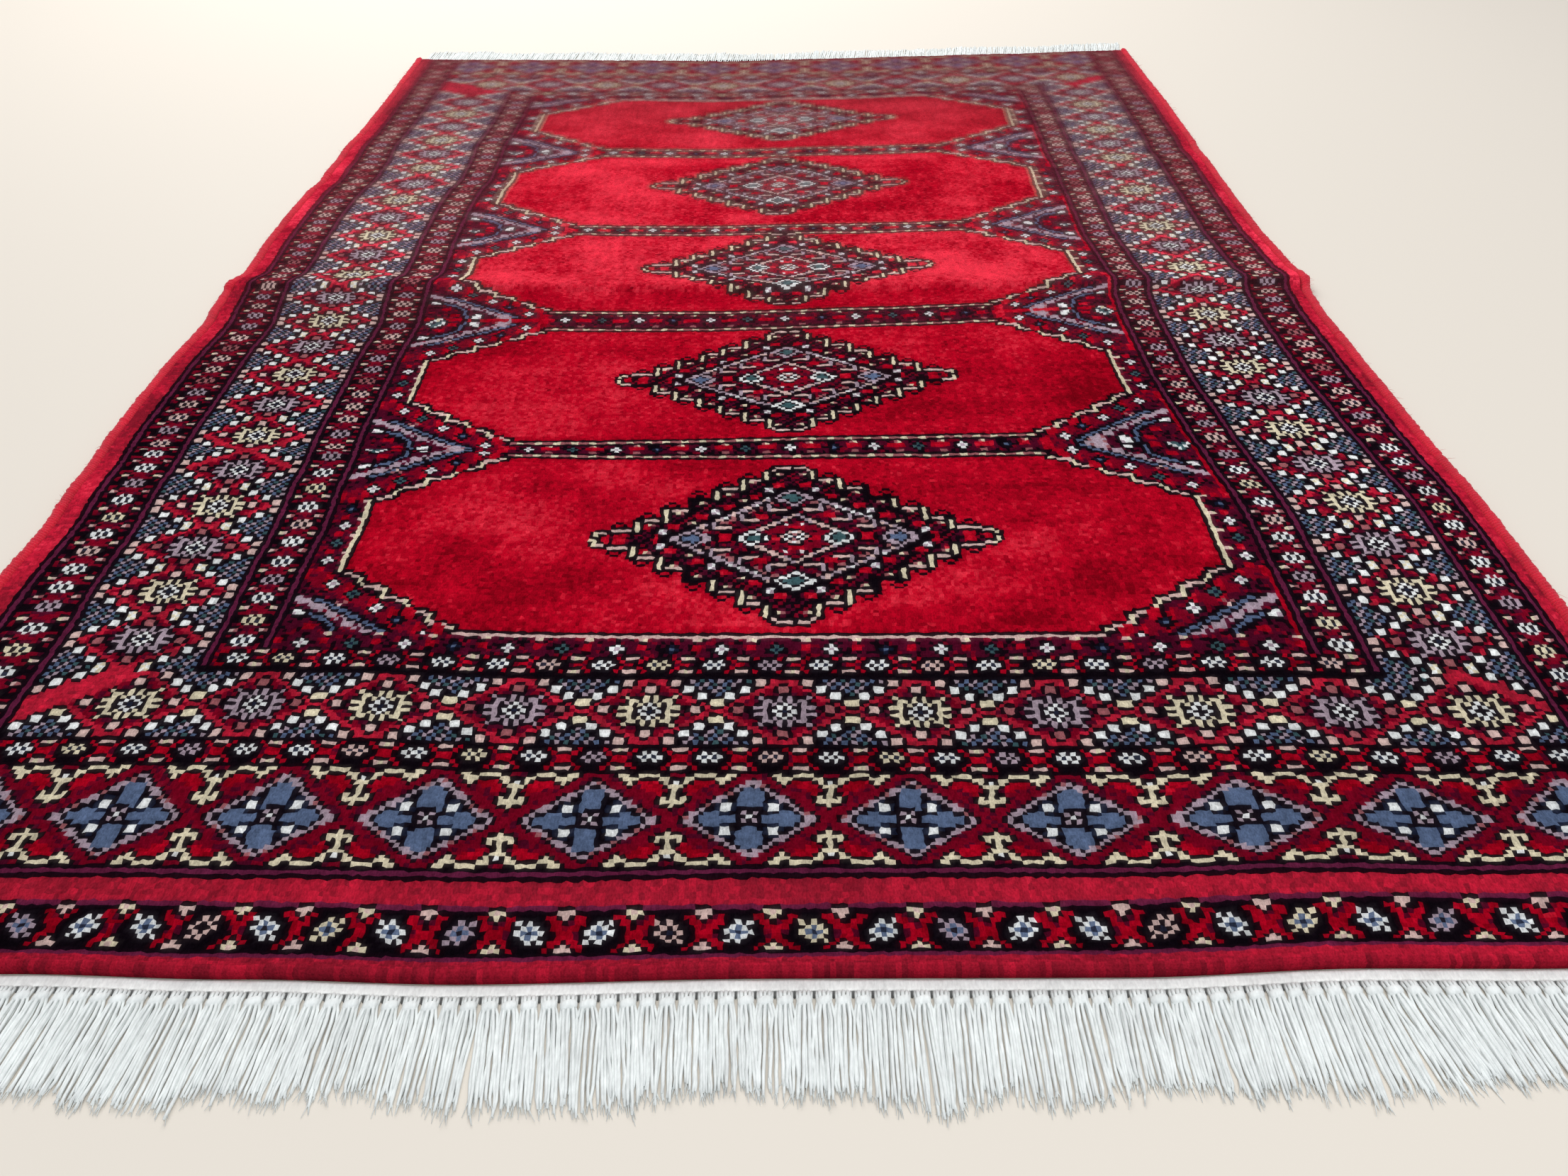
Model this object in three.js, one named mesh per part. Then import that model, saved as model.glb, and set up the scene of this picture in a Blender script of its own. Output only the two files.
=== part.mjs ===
// A hand-knotted bokhara rug as it lies on a floor: a wool pile on a cotton foundation, a red overcast
// edge down each side, and at each end a narrow white web whose warps are knotted into tassels.
// Millimetres, +Z up. X runs across the rug, Y along it, and the origin is on the floor under its middle.

import * as THREE from 'three';

// The whole rug
const RUG_WIDTH = 950;
const PILE_LENGTH = 1400;
const PILE_THICKNESS = 8;
const PILE_SHOULDER = 5;
const SHOULDER_INSET = 2;
const GAP = 0.3;

// The overcast edges
const SELVEDGE_WIDTH = 9;
const SELVEDGE_HEIGHT = 7.5;
const SELVEDGE_SIDES = 8;
const SELVEDGE_OVERRUN_NEAR = 6;
const SELVEDGE_OVERRUN_FAR = 11;
const SELVEDGE_TIP_RISE = 3;
const SELVEDGE_TIP_SHARE = 0.75;

// The web and its tassels
const WEB_DEPTH = 7;
const WEB_THICKNESS = 2;
const TASSELS_PER_END = 110;
const TASSEL_LENGTH = 48;
const TASSEL_LENGTH_SWELL = 3;
const TASSELS_PER_SWELL = 20;
const TASSELS_PER_RIPPLE = 7.6;
const TASSEL_LENGTH_JITTER = 2;
const TIP_JITTER = 0.3;

// How finely the cloth is divided
const CROSS_CELLS = 24;
const LENGTH_CELLS = 46;
const THICKNESS_CELLS = 2;
const RIDGE_CLEARANCE = 1.25;
const RIDGE_STATIONS = [-1, -0.5, 0, 0.5, 1];

// How far each side edge strays outwards, by the distance from the near end of the pile
const SIDE_WAVES = [
  { along: 0, left: 0, right: 0 },
  { along: 150, left: -1, right: 1.5 },
  { along: 290, left: -2, right: 3 },
  { along: 330, left: -4, right: 3.5 },
  { along: 390, left: -1.5, right: 0.8 },
  { along: 460, left: 2.5, right: -1 },
  { along: 550, left: 3, right: -2.5 },
  { along: 625, left: -1, right: -3.5 },
  { along: 660, left: 2.5, right: -1.5 },
  { along: 690, left: 4.5, right: 3 },
  { along: 720, left: -1, right: 1.5 },
  { along: 745, left: 0, right: 0 },
  { along: 800, left: 3.5, right: -3 },
  { along: 860, left: 4, right: -2.5 },
  { along: 920, left: 3, right: -1.5 },
  { along: 960, left: -2, right: -0.5 },
  { along: 1010, left: -1, right: -1.5 },
  { along: 1060, left: 1, right: 2 },
  { along: 1110, left: -2, right: 3 },
  { along: 1180, left: -2, right: 5 },
  { along: 1255, left: -1.5, right: 4.5 },
  { along: 1320, left: 0, right: 5 },
  { along: 1400, left: 1, right: 6 },
];

// How far each end of the pile strays outwards, by the place across the rug
const NEAR_END_WAVE = [
  { across: -470, out: -2 },
  { across: -330, out: -1.5 },
  { across: -227, out: 0 },
  { across: -127, out: 2 },
  { across: 0, out: 0 },
  { across: 166, out: 1.2 },
  { across: 267, out: -0.9 },
  { across: 343, out: 1 },
  { across: 470, out: 0 },
];
// How far the first rows of knots are pulled in from the near end, which fades out along the rug
const NEAR_TUCK = [
  { across: -330, tuck: 6 },
  { across: -227, tuck: 4 },
  { across: -127, tuck: 2.7 },
  { across: 0, tuck: 2.7 },
  { across: 166, tuck: 3.3 },
  { across: 267, tuck: 5 },
  { across: 343, tuck: 6.2 },
];
const TUCK_REACH = 10.5;
const FAR_END_WAVE = [
  { across: -470, out: 2 },
  { across: -300, out: -2 },
  { across: -186, out: -8 },
  { across: -50, out: -15 },
  { across: 77, out: -7 },
  { across: 190, out: 2 },
  { across: 306, out: 10 },
  { across: 470, out: 22 },
];

// Low ridges that run right across the rug. A slant brings the left end of a ridge further along.
const RIDGES = [
  { along: 372, high: 1.2, spread: 42, slant: 6 },
  { along: 692, high: 4, spread: 26, slant: 15 },
  { along: 985, high: 1.4, spread: 38, slant: -8 },
];

// How the tassels lean at each end, sideways for each millimetre outwards, by the place across the rug
const NEAR_LEAN = [
  { across: -470, lean: -0.05 },
  { across: -290, lean: -0.09 },
  { across: -190, lean: -0.06 },
  { across: -140, lean: 0 },
  { across: -90, lean: 0.11 },
  { across: -30, lean: 0.03 },
  { across: 40, lean: 0 },
  { across: 240, lean: -0.01 },
  { across: 285, lean: 0.2 },
  { across: 330, lean: 0.13 },
  { across: 470, lean: 0.11 },
];
const FAR_LEAN = [
  { across: -470, lean: 0 },
  { across: -200, lean: 0.05 },
  { across: 60, lean: 0.09 },
  { across: 300, lean: 0.15 },
  { across: 470, lean: 0.18 },
];

// A tassel from the web outwards: its root, its knot, where its yarns open and its full length
const TASSEL_PROFILE = [
  { out: 0, halfWidth: 2.4, high: WEB_THICKNESS },
  { out: 2.5, halfWidth: 3.2, high: 4.2 },
  { out: 8, halfWidth: 3.5, high: 3 },
  { out: TASSEL_LENGTH, halfWidth: 2.9, high: 1.4 },
];
const TASSEL_TIP = TASSEL_PROFILE[TASSEL_PROFILE.length - 1];

const ENDS = {
  near: { turn: -1, wave: NEAR_END_WAVE, lean: NEAR_LEAN },
  far: { turn: 1, wave: FAR_END_WAVE, lean: FAR_LEAN },
};

const MATERIALS = {
  pile: new THREE.MeshStandardMaterial({ color: 0xa81430, roughness: 0.95, metalness: 0 }),
  selvedge: new THREE.MeshStandardMaterial({ color: 0xc4122a, roughness: 0.9, metalness: 0 }),
  cotton: new THREE.MeshStandardMaterial({ color: 0xe9ebe4, roughness: 0.95, metalness: 0 }),
};

// Reads one column of a table at a place between its rows, eased so that the line has no corners.
function follow(rows, placeColumn, valueColumn, at) {
  const last = rows.length - 1;
  if (at <= rows[0][placeColumn]) return rows[0][valueColumn];
  if (at >= rows[last][placeColumn]) return rows[last][valueColumn];
  const next = rows.findIndex((row) => row[placeColumn] > at);
  const from = rows[next - 1];
  const to = rows[next];
  const share = (at - from[placeColumn]) / (to[placeColumn] - from[placeColumn]);
  return THREE.MathUtils.lerp(from[valueColumn], to[valueColumn], THREE.MathUtils.smoothstep(share, 0, 1));
}

// A fixed, even-looking scatter between -1 and 1 for a whole number.
function scatter(number) {
  const wave = Math.sin(number * 12.9898 + 4.1) * 43758.5453;
  return (wave - Math.floor(wave)) * 2 - 1;
}

// The outer line of the rug, with its overcast edge, on the left (-1) or the right (1).
function outerEdge(side, along) {
  const stray = follow(SIDE_WAVES, 'along', side < 0 ? 'left' : 'right', along);
  return side * (RUG_WIDTH / 2 + stray);
}

// The side of the pile, a gap inside the overcast edge.
function pileEdge(side, along) {
  return outerEdge(side, along) - side * (SELVEDGE_WIDTH + GAP);
}

// The Y of the pile's near or far end at a place across the rug.
function pileEnd(end, across) {
  return end.turn * (PILE_LENGTH / 2 + follow(end.wave, 'across', 'out', across));
}

// How far a point of the cloth is pulled in from the near end.
function tuck(across, along) {
  return follow(NEAR_TUCK, 'across', 'tuck', across) * Math.exp(-along / TUCK_REACH);
}

// How high a ridge lifts the cloth off the floor.
function lift(across, along) {
  return RIDGES.reduce((sum, ridge) => {
    const crest = ridge.along - (ridge.slant * across) / RUG_WIDTH;
    const away = Math.min(Math.abs(along - crest) / ridge.spread, 1);
    return sum + (ridge.high * (1 + Math.cos(Math.PI * away))) / 2;
  }, 0);
}

// The distances from the near end at which the cloth is divided: even, with more on each ridge.
function lengthStations() {
  const even = Array.from({ length: LENGTH_CELLS + 1 }, (_, i) => (i * PILE_LENGTH) / LENGTH_CELLS);
  const onRidges = RIDGES.flatMap(({ along, spread }) =>
    RIDGE_STATIONS.map((share) => along + share * spread));
  const reach = (ridge) => ridge.spread * RIDGE_CLEARANCE;
  const clear = even.filter((at) => RIDGES.every((ridge) => Math.abs(at - ridge.along) > reach(ridge)));
  return [...clear, ...onRidges].sort((a, b) => a - b);
}

const STATIONS = lengthStations();
const CROSS_SHARES = Array.from({ length: CROSS_CELLS + 1 }, (_, i) => i / CROSS_CELLS);

// Where a station crosses the rug: it slants with the ridge that it lies on.
function slanted(station, across) {
  const ridge = RIDGES.find(({ along, spread }) => Math.abs(station - along) <= spread);
  return ridge ? station - (ridge.slant * across) / RUG_WIDTH : station;
}

// A point of the pile's plan, by its share of the way across and its station along.
function planPoint(share, station) {
  const nominal = (share - 0.5) * RUG_WIDTH;
  const along = slanted(station, nominal);
  const x = THREE.MathUtils.lerp(pileEdge(-1, along), pileEdge(1, along), share);
  const even = THREE.MathUtils.lerp(pileEnd(ENDS.near, x), pileEnd(ENDS.far, x), along / PILE_LENGTH);
  return { x, y: even + tuck(x, along), along };
}

// Moves each vertex of a geometry to where place(point) puts it.
function shaped(geometry, place) {
  const positions = geometry.attributes.position;
  const point = new THREE.Vector3();
  for (let i = 0; i < positions.count; i += 1) {
    point.fromBufferAttribute(positions, i);
    const moved = place(point);
    positions.setXYZ(i, moved.x, moved.y, moved.z);
  }
  geometry.computeVertexNormals();
  return geometry;
}

// The pile and its foundation: a slab with a soft upper rim, lifted where a ridge crosses it.
function rug() {
  const cells = STATIONS.length - 1;
  const box = new THREE.BoxGeometry(1, 1, 1, CROSS_CELLS, cells, THICKNESS_CELLS);
  const levels = [0, PILE_SHOULDER, PILE_THICKNESS];
  const geometry = shaped(box, (corner) => {
    const share = corner.x + 0.5;
    const station = Math.round((corner.y + 0.5) * cells);
    const level = Math.round((corner.z + 0.5) * THICKNESS_CELLS);
    const plan = planPoint(share, STATIONS[station]);
    const inset = level === THICKNESS_CELLS ? SHOULDER_INSET : 0;
    const atSide = share < 0.001 ? 1 : share > 0.999 ? -1 : 0;
    const atEnd = station === 0 ? 1 : station === cells ? -1 : 0;
    const z = lift(plan.x, plan.along) + levels[level];
    return { x: plan.x + atSide * inset, y: plan.y + atEnd * inset, z };
  });
  const mesh = new THREE.Mesh(geometry, MATERIALS.pile);
  mesh.name = 'rug';
  return mesh;
}

// An overcast edge: a rounded cord with a flat underside that runs a little past the pile at each end.
function selvedge(side, name) {
  const rings = STATIONS.length + 2;
  const cord = new THREE.CylinderGeometry(
    1, 1, 1, SELVEDGE_SIDES, rings - 1, false, Math.PI / SELVEDGE_SIDES);
  const flat = Math.cos(Math.PI / SELVEDGE_SIDES);
  const geometry = shaped(cord, (corner) => {
    const ring = Math.round((corner.y + 0.5) * (rings - 1));
    const station = STATIONS[THREE.MathUtils.clamp(ring - 1, 0, STATIONS.length - 1)];
    const plan = planPoint(side < 0 ? 0 : 1, station);
    const isNearTip = ring === 0;
    const isFarTip = ring === rings - 1;
    const tip = isNearTip ? -SELVEDGE_OVERRUN_NEAR : isFarTip ? SELVEDGE_OVERRUN_FAR : 0;
    const narrowing = isNearTip || isFarTip ? SELVEDGE_TIP_SHARE : 1;
    const middle = plan.x + side * (GAP + SELVEDGE_WIDTH / 2);
    const across = (corner.x / flat) * (SELVEDGE_WIDTH / 2) * narrowing;
    const up = ((corner.z / flat + 1) / 2) * SELVEDGE_HEIGHT * narrowing;
    const rise = isFarTip ? SELVEDGE_TIP_RISE : 0;
    return { x: middle + across, y: plan.y + tip, z: lift(plan.x, plan.along) + up + rise };
  });
  const mesh = new THREE.Mesh(geometry, MATERIALS.selvedge);
  mesh.name = name;
  return mesh;
}

// One tassel's outline, from the left of its root round its tip to the right of its root.
function tasselOutline(end, root, number, webLine) {
  const lean = end.turn * follow(end.lean, 'across', 'lean', end.turn * root);
  const turns = 2 * Math.PI * number;
  const swell = Math.sin(turns / TASSELS_PER_SWELL) + Math.sin(turns / TASSELS_PER_RIPPLE + 1) / 2;
  const length = TASSEL_LENGTH + TASSEL_LENGTH_SWELL * swell + TASSEL_LENGTH_JITTER * scatter(number);
  const rows = TASSEL_PROFILE.map((row) => (row === TASSEL_TIP ? { ...row, out: length } : row));
  const base = webLine(root);
  const middles = rows.map((row) => {
    const stray = row.out === length ? TIP_JITTER * scatter(number + 500) : 0;
    return new THREE.Vector2(root + lean * row.out + stray, base + row.out);
  });
  const left = rows.map((row, i) => new THREE.Vector2(middles[i].x - row.halfWidth, middles[i].y));
  const right = rows.map((row, i) => new THREE.Vector2(middles[i].x + row.halfWidth, middles[i].y));
  left[0].y = webLine(left[0].x);
  right[0].y = webLine(right[0].x);
  return [...left, ...right.reverse()];
}

// The web at one end with its tassels, in a frame whose +Y points out from the pile's end.
function fringe(end, name) {
  const pulledIn = (x) => (end.turn < 0 ? tuck(end.turn * x, 0) : 0);
  const pileLine = (x) => end.turn * pileEnd(end, end.turn * x) - pulledIn(x) - PILE_LENGTH / 2 + GAP;
  const webLine = (x) => pileLine(x) + WEB_DEPTH;
  const endStation = end.turn < 0 ? STATIONS[0] : STATIONS[STATIONS.length - 1];
  const inner = CROSS_SHARES.map((share) => {
    const plan = planPoint(share, endStation);
    return new THREE.Vector2(end.turn * plan.x, end.turn * plan.y - PILE_LENGTH / 2 + GAP);
  }).sort((a, b) => b.x - a.x);
  const rightmost = inner[0].x;
  const leftmost = inner[inner.length - 1].x;
  const pitch = (rightmost - leftmost) / TASSELS_PER_END;
  const tassels = Array.from({ length: TASSELS_PER_END }, (_, i) =>
    tasselOutline(end, leftmost + (i + 0.5) * pitch, i, webLine));
  const outline = [
    new THREE.Vector2(leftmost, webLine(leftmost)),
    ...tassels.flat(),
    new THREE.Vector2(rightmost, webLine(rightmost)),
    ...inner,
  ];
  const flatComb = new THREE.ExtrudeGeometry(new THREE.Shape(outline), { depth: 1, bevelEnabled: false });
  const geometry = shaped(flatComb, (corner) => {
    const out = corner.y - webLine(corner.x);
    const high = follow(TASSEL_PROFILE, 'out', 'high', out);
    return { x: corner.x, y: corner.y, z: corner.z > 0.5 ? high : 0 };
  });
  const mesh = new THREE.Mesh(geometry, MATERIALS.cotton);
  mesh.name = name;
  mesh.position.y = (end.turn * PILE_LENGTH) / 2;
  mesh.rotation.z = end.turn < 0 ? Math.PI : 0;
  return mesh;
}

const cloth = new THREE.Group();
cloth.add(rug());
cloth.add(selvedge(-1, 'selvedge_left'));
cloth.add(selvedge(1, 'selvedge_right'));
cloth.add(fringe(ENDS.near, 'fringe_near'));
cloth.add(fringe(ENDS.far, 'fringe_far'));

// The uneven edges reach further on one side, so the whole cloth is moved to stand over the origin.
const reach = new THREE.Box3().setFromObject(cloth);
const middle = reach.getCenter(new THREE.Vector3());
cloth.position.set(-middle.x, -middle.y, -reach.min.z);

const group = new THREE.Group();
group.add(cloth);
group.updateMatrixWorld(true);

export default group;
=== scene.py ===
"""A hand-knotted bokhara rug on a pale floor: its wool pile knot by knot, its woven back, its overcast
side edges and the cotton web and tassels at each end. Metres, +Z up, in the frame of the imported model."""

import logging
import math
from dataclasses import dataclass, field
from enum import Enum
from typing import NamedTuple, Sequence

import bpy
import numpy as np
from bpy.types import Material, Node, NodeOutputs, NodeSocket, NodeTree, Object
from mathutils import Matrix, Vector
from numpy import ndarray as Array


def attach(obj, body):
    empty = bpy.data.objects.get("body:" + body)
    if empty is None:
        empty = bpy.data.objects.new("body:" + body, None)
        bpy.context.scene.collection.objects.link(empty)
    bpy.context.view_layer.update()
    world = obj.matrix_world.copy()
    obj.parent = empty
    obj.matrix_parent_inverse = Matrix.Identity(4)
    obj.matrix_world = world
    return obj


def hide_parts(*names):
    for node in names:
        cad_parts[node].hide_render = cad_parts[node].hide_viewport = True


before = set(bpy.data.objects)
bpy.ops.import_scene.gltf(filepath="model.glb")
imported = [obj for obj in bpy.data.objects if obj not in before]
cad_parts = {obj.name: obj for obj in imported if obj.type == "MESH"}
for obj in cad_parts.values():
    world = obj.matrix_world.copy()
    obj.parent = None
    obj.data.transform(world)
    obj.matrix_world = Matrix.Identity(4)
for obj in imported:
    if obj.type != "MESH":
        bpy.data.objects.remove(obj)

LOG = logging.getLogger("rug")
SEED = 20
BODY = "root"
IMAGE_SIZE = (2212, 1659)
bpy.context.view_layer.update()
BOTH = (-1, 1)
QUARTERS = ((1, 1), (-1, 1), (1, -1), (-1, -1))
Pair = tuple[float, float]
Triple = tuple[float, float, float]


def srgb(red: int, green: int, blue: int) -> Triple:
    """Turns a colour in steps from 0 to 255 into linear light."""
    steps = np.array([red, green, blue]) / 255
    linear = np.where(steps <= 0.04045, steps / 12.92, ((steps + 0.055) / 1.055) ** 2.4)
    return tuple(float(part) for part in linear)


class Yarn(Enum):
    """The dyed wools of the pile. Each has the letter that the small charts use and its colour."""

    CRIMSON = ("R", srgb(178, 6, 32))
    BRIGHT = ("B", srgb(192, 17, 45))
    WINE = ("V", srgb(128, 7, 33))
    MAROON = ("M", srgb(72, 9, 32))
    PLUM = ("U", srgb(98, 30, 60))
    BLACK = ("K", srgb(14, 8, 14))
    NAVY = ("N", srgb(18, 22, 40))
    SLATE = ("S", srgb(86, 102, 132))
    TEAL = ("T", srgb(58, 88, 92))
    LILAC = ("L", srgb(172, 152, 164))
    ROSE = ("O", srgb(156, 92, 96))
    PINK = ("P", srgb(216, 184, 176))
    IVORY = ("I", srgb(228, 216, 184))
    WHITE = ("W", srgb(238, 240, 238))

    @property
    def number(self) -> int:
        """The place of this yarn in the list of yarns."""
        return YARN_NUMBERS[self.value[0]]


YARN_NUMBERS = {yarn.value[0]: number for number, yarn in enumerate(Yarn)}


class Side(Enum):
    """The side of the rug on which a border runs."""

    NEAR = "near"
    FAR = "far"
    LEFT = "left"
    RIGHT = "right"

    @property
    def runs_along(self) -> bool:
        """Whether the border runs along the rug and not across it."""
        return self in (Side.LEFT, Side.RIGHT)


def ease(share: Array) -> Array:
    """Shares of a way, kept between 0 and 1 and eased at both ends."""
    share = np.clip(share, 0, 1)
    return share * share * (3 - 2 * share)


@dataclass(frozen=True)
class Track:
    """Values at places along a line: each row is a place and then a value for each named column."""

    columns: str
    rows: tuple[tuple[float, ...], ...]

    def read(self, column: str, at: Array | float) -> Array:
        """Reads a column at places between the rows, eased so that the line has no corners."""
        table = np.array(self.rows, float)
        places, values = table[:, 0], table[:, 1 + self.columns.split().index(column)]
        at = np.clip(np.asarray(at, float), places[0], places[-1])
        nexts = np.clip(np.searchsorted(places, at, side="right"), 1, len(places) - 1)
        share = ease((at - places[nexts - 1]) / (places[nexts] - places[nexts - 1]))
        return values[nexts - 1] + (values[nexts] - values[nexts - 1]) * share


class Ridge(NamedTuple):
    """A low ridge right across the rug. A slant brings its left end further along."""

    along: float
    high: float
    spread: float
    slant: float
    near_spread: float


# How far the weave wanders at a row of knots, in knots, on the left, in the middle and on the right: to the
# right, and then towards the far end.
WANDER = Track("left middle right left_on middle_on right_on", (
    (0, 0, 0, 0, 0, 0, 0), (4, 0.3, 0, 0.3, -1.4, -1.9, -0.7), (10, 0.5, 0, 0.6, -1.2, -3, -1.5),
    (16, 0.7, -0.3, 1.5, -1.1, -2.5, -0.9), (21, 0.9, -0.6, 2.6, -0.1, -0.5, -0.8),
    (35, 1.2, -1, 3.5, -0.8, -1.8, -3.2), (49, 2, -0.2, 3.2, 0.3, -2.4, -4.1),
    (64, 2.9, -0.4, 2.8, 0.1, -2.4, -4.8), (87, 3, 0.8, 3, 0.6, -2.1, -3.4),
    (105, 1.8, 1.5, 3, 0.6, -0.6, -1.4), (130, 0.8, 1.4, 3, 0.8, 0, -0.6),
    (159, 0.8, 1.2, 1.6, 2.5, 0.5, -0.5), (167, 0.8, 1.1, 0.8, -0.3, 1.3, 1.3),
    (200, 0.8, 0.8, -1, 0, 0.3, 1), (236, 0, 0.5, -1, -0.7, -0.4, 3.5),
    (246, -0.6, 0.4, -0.7, 0.3, 0.5, 3.8), (264, -2, 0.3, -0.3, 0, 0, 1.4), (300, -1, 0, -0.5, 0, 0, 0),
    (340, -1.5, -0.5, 0, 0, 0, 0), (379, 0, -1, -0.3, 0, 0, 0), (414, -1.5, -1, -0.3, 0, 0, 0),
    (470, -1, -1, -0.3, 0, 0, 0), (537, 0, 0, 0, 0, 0, 0)))
# How far the edges stray outwards, by the distance from the near end of the pile or the place across it
SIDE_STRAYS = Track("left right", (
    (0, 0, 0), (0.150, -0.0010, 0.0015), (0.290, -0.0020, 0.0030), (0.330, -0.0040, 0.0035),
    (0.390, -0.0015, 0.0008), (0.460, 0.0025, -0.0010), (0.550, 0.0030, -0.0025), (0.625, -0.0010, -0.0035),
    (0.660, 0.0025, -0.0015), (0.690, 0.0045, 0.0030), (0.720, -0.0010, 0.0015), (0.745, 0, 0),
    (0.800, 0.0035, -0.0030), (0.860, 0.0040, -0.0025), (0.920, 0.0030, -0.0015), (0.960, -0.0020, -0.0005),
    (1.010, -0.0010, -0.0015), (1.060, 0.0010, 0.0020), (1.110, -0.0020, 0.0030), (1.180, -0.0020, 0.0050),
    (1.255, -0.0015, 0.0045), (1.320, 0, 0.0050), (1.400, 0.0010, 0.0060)))
NEAR_STRAYS = Track("out", (
    (-0.470, -0.0020), (-0.330, -0.0015), (-0.227, 0), (-0.127, 0.0020), (0, 0), (0.166, 0.0012),
    (0.267, -0.0009), (0.343, 0.0010), (0.470, 0)))
FAR_STRAYS = Track("out", (
    (-0.470, 0.002), (-0.300, -0.002), (-0.186, -0.008), (-0.050, -0.015), (0.077, -0.007), (0.190, 0.002),
    (0.306, 0.010), (0.470, 0.022)))
# How far the first rows of knots are pulled in from the near end
NEAR_TUCKS = Track("pulled", (
    (-0.330, 0.0060), (-0.227, 0.0040), (-0.127, 0.0027), (0, 0.0027), (0.166, 0.0033), (0.267, 0.0050),
    (0.343, 0.0062)))
# How far the tassels lean sideways for each metre outwards
NEAR_LEANS = Track("lean", (
    (-0.470, -0.05), (-0.290, -0.09), (-0.190, -0.06), (-0.140, 0), (-0.090, 0.11), (-0.030, 0.03),
    (0.040, 0), (0.240, -0.01), (0.285, 0.20), (0.330, 0.13), (0.470, 0.11)))
FAR_LEANS = Track("lean", ((-0.470, 0), (-0.200, 0.05), (0.060, 0.09), (0.300, 0.15), (0.470, 0.18)))
RIDGES = (Ridge(0.372, 0.0012, 0.042, 0.006, 0.042), Ridge(0.692, 0.0040, 0.034, 0.015, 0.011),
          Ridge(0.985, 0.0014, 0.038, -0.008, 0.038))
# Painted light and shade on the red wool at each row of knots: darker at the near end and before the crease,
# lighter beyond it, where the light comes from the far side
NAP_LIGHT = ((0, 0.62), (20, 0.62), (60, 0.72), (120, 0.80), (150, 0.72), (200, 0.74), (240, 0.78), (259, 0.72),
       (266, 1.14), (300, 1.22), (360, 1.18), (430, 0.98), (470, 0.9), (537, 0.8))


def soft_noise(shape: tuple[int, int], cell: Pair, seed: int) -> Array:
    """A smooth random field between about -1 and 1.

    Args:
        shape: How many rows and columns the field has.
        cell: How many rows and columns lie between two of its random values.
        seed: The number that fixes the random values.

    Returns:
        The field.
    """
    rng = np.random.default_rng(seed)
    knots = rng.uniform(-1, 1, [int(size / step) + 3 for size, step in zip(shape, cell)])
    places = [np.arange(size) / step for size, step in zip(shape, cell)]
    rows, cols = (at.astype(int) for at in places)
    row_share, col_share = (ease(at - at.astype(int)) for at in places)
    near, far = (knots[np.ix_(row, cols)] * (1 - col_share) + knots[np.ix_(row, cols + 1)] * col_share
                 for row in (rows, rows + 1))
    return near * (1 - row_share[:, None]) + far * row_share[:, None]


@dataclass(frozen=True)
class RugPlan:
    """The rug's plan: its outer lines and the ridges that lift it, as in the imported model."""

    width: float = 0.950
    pile_length: float = 1.400
    pile_thickness: float = 0.008
    gap: float = 0.0003
    selvedge_width: float = 0.009
    selvedge_height: float = 0.0075
    web_depth: float = 0.007
    web_thickness: float = 0.002
    tuck_reach: float = 0.0105
    shift: Pair = (0.0, 0.0)

    def pile_edge(self, side: int, along: Array | float) -> Array:
        """The left (-1) or right (1) side of the pile, a gap inside the overcast edge, before the shift."""
        stray = SIDE_STRAYS.read("left" if side < 0 else "right", along)
        return side * (self.width / 2 + stray - self.selvedge_width - self.gap)

    def pile_end(self, turn: int, across: Array) -> Array:
        """The line of the pile's near (-1) or far (1) end at places across the rug, before the shift."""
        return turn * (self.pile_length / 2 + (NEAR_STRAYS if turn < 0 else FAR_STRAYS).read("out", across))

    def tuck(self, across: Array, along: Array | float) -> Array:
        """How far the cloth is pulled in from the near end, which fades out along the rug."""
        return NEAR_TUCKS.read("pulled", across) * np.exp(-np.asarray(along, float) / self.tuck_reach)

    def lift(self, across: Array, along: Array) -> Array:
        """How high the ridges lift the cloth, at places across the rug and along it from its near end."""
        total = np.zeros(np.broadcast(across, along).shape)
        for ridge in RIDGES:
            crest = ridge.along - ridge.slant * across / self.width
            spread = np.where(along < crest, ridge.near_spread, ridge.spread)
            away = np.minimum(np.abs(along - crest) / spread, 1)
            total = total + ridge.high * (1 + np.cos(np.pi * away)) / 2
        return total

    def place(self, share: Array | float, along: Array, inset: float = 0.0) -> Array:
        """Points of the cloth's underside.

        Args:
            share: The shares of the way across the pile, from 0 on the left to 1 on the right.
            along: Distances from the near end of the pile.
            inset: How far inside the pile's sides and ends the outermost points lie.

        Returns:
            An array of X, Y and Z for each point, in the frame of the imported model.
        """
        share, along = np.broadcast_arrays(np.asarray(share, float), np.asarray(along, float))
        left, right = self.pile_edge(-1, along) + inset, self.pile_edge(1, along) - inset
        across = left + (right - left) * share
        near, far = self.pile_end(-1, across) + inset, self.pile_end(1, across) - inset
        y = near + (far - near) * along / self.pile_length + self.tuck(across, along)
        return np.stack([across + self.shift[0], y + self.shift[1], self.lift(across, along)], -1)


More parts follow.
